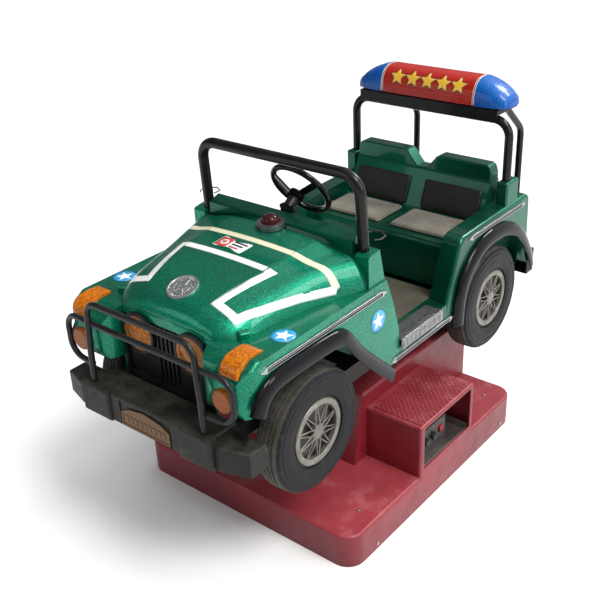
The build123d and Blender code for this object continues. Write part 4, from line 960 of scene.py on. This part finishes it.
def welt(name, points, material):
    """Round piping through a closed line of points."""
    cu = bpy.data.curves.new(name, "CURVE")
    cu.dimensions = "3D"
    sp = cu.splines.new("POLY")
    sp.points.add(len(points) - 1)
    for p, q in zip(sp.points, points):
        p.co = (*q, 1)
    sp.use_cyclic_u = True
    cu.bevel_depth, cu.bevel_resolution, cu.use_fill_caps = WELT_R, 4, True
    ob = bpy.data.objects.new(name, cu)
    scene.collection.objects.link(ob)
    cu.materials.append(MATS[material])
    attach(ob, "rocker")


SEAT_X, BACK_X = 154, 156
LEAN = Matrix.Rotation(math.atan2(130, 54), 3, "X")
for s, tag in SIDES:
    cushion(f"seat_cushion_{tag}", lambda u, v, w: Vector((s * SEAT_X + u, 412 + v, 802.7 + w)) * MM,
            134, 90, 15, 6, "beige_vinyl", "seat_pads")
for s, tag in SIDES:
    cushion(f"back_cushion_{tag}",
            lambda u, v, w: (Vector((s * BACK_X, 547.6, 860)) + LEAN @ Vector((u, v, w + 1.0))) * MM,
            128, 62, 13, 5, "black_vinyl", "back_pads")

# ---------------------------------------------------------------- webs beside the grille and floor mat
WEB = [(-798, 730), (-798, 883.5), (-790, 884), (-783, 880), (-783, 806), (-788, 730)]  # y, z
for s, tag in SIDES:
    plate(f"wing_web_{tag}", [[Vector((s * x, y, z)) * MM for y, z in WEB] for x in (187.9, 190.4)],
          "green_flake", 0.0005, slot="green_flake")
plate("floor_mat", [[Vector((u, v - 8, z)) * MM for u, v in rounded(296, 238, 24, 6)] for z in (639.4, 641.6)],
      "floor_rubber", 0.0008)

# ---------------------------------------------------------------- camera
cam = bpy.data.objects.new("camera", bpy.data.cameras.new("camera"))
scene.collection.objects.link(cam)
VIEW_AZIMUTH, VIEW_ELEVATION, VIEW_ROLL = math.radians(40.22), math.radians(27.63), math.radians(-2.60)
VIEW_AIM, VIEW_DISTANCE = (0, -0.179, 0.697), 3.186
cam.matrix_world = (Matrix.Translation(VIEW_AIM) @ Matrix.Rotation(VIEW_AZIMUTH, 4, "Z")
                    @ Matrix.Rotation(math.radians(90) - VIEW_ELEVATION, 4, "X")
                    @ Matrix.Rotation(VIEW_ROLL, 4, "Z") @ Matrix.Translation((0, 0, VIEW_DISTANCE)))
cam.data.sensor_width = 36
cam.data.lens = 55.6
cam.data.clip_start, cam.data.clip_end = 0.05, 60
scene.camera = cam

# ---------------------------------------------------------------- studio: sky brighter to one side, lamps, floor
world = bpy.data.worlds.new("studio")
scene.world = world
world.use_nodes = True
sky = world.node_tree
facing = sky.nodes.new("ShaderNodeVectorMath")
facing.operation = "DOT_PRODUCT"
facing.inputs[1].default_value = (0.62, 0.35, 0.70)
sky.links.new(sky.nodes.new("ShaderNodeTexCoord").outputs["Generated"], facing.inputs[0])
glow = sky.nodes.new("ShaderNodeMapRange")
glow.interpolation_type = "SMOOTHSTEP"
for key, value in (("From Min", 0.0), ("From Max", 0.95), ("To Min", 0.16), ("To Max", 1.25)):
    glow.inputs[key].default_value = value
sky.links.new(facing.outputs["Value"], glow.inputs["Value"])
sky.nodes["Background"].inputs[0].default_value = (0.97, 0.985, 1.0, 1)
sky.links.new(glow.outputs[0], sky.nodes["Background"].inputs[1])
scene.view_settings.view_transform = "Standard"


def stage(name, data, at=(0, 0, 0), aim=None):
    """Put a lamp or the floor into the scene, aimed along a direction."""
    ob = bpy.data.objects.new(name, data)
    scene.collection.objects.link(ob)
    ob.location = at
    if aim is not None:
        ob.rotation_euler = aim.to_track_quat("-Z", "Y").to_euler()


def area(name, at, look, size, power):
    lamp = bpy.data.lights.new(name, "AREA")
    lamp.shape, lamp.size, lamp.size_y, lamp.energy = "RECTANGLE", *size, power
    stage(name, lamp, at, Vector(look) - Vector(at))


area("key", (0.75, 2.3, 3.0), (0.2, -0.4, 0.9), (0.7, 1.1), 60)
area("side", (3.0, 0.2, 2.2), (0.2, -0.2, 0.7), (0.8, 1.3), 23)
area("fill", (-1.2, -3.2, 2.0), (0, 0, 0.7), (2.2, 1.6), 16)
sun = bpy.data.lights.new("sun", "SUN")
sun.energy, sun.angle, sun.color = 2.2, math.radians(22), (1.0, 0.985, 0.96)
stage("sun", sun, aim=Vector((-0.75, 0.05, -1.0)))

m = Mat("floor", Specular_IOR_Level=0.2)
tone = m.noise(0.7, 2)
m.set(Base_Color=m.mix(tone, (0.86, 0.86, 0.86), (0.90, 0.90, 0.90)), Roughness=m.between(tone, 0, 1, 0.75, 0.85))
FLOOR = 30
floor = bpy.data.meshes.new("floor")
floor.from_pydata([(x * FLOOR, y * FLOOR, 0) for x, y in ((-1, -1), (1, -1), (1, 1), (-1, 1))], [], [(0, 1, 2, 3)])
floor.materials.append(MATS["floor"])
stage("floor", floor)
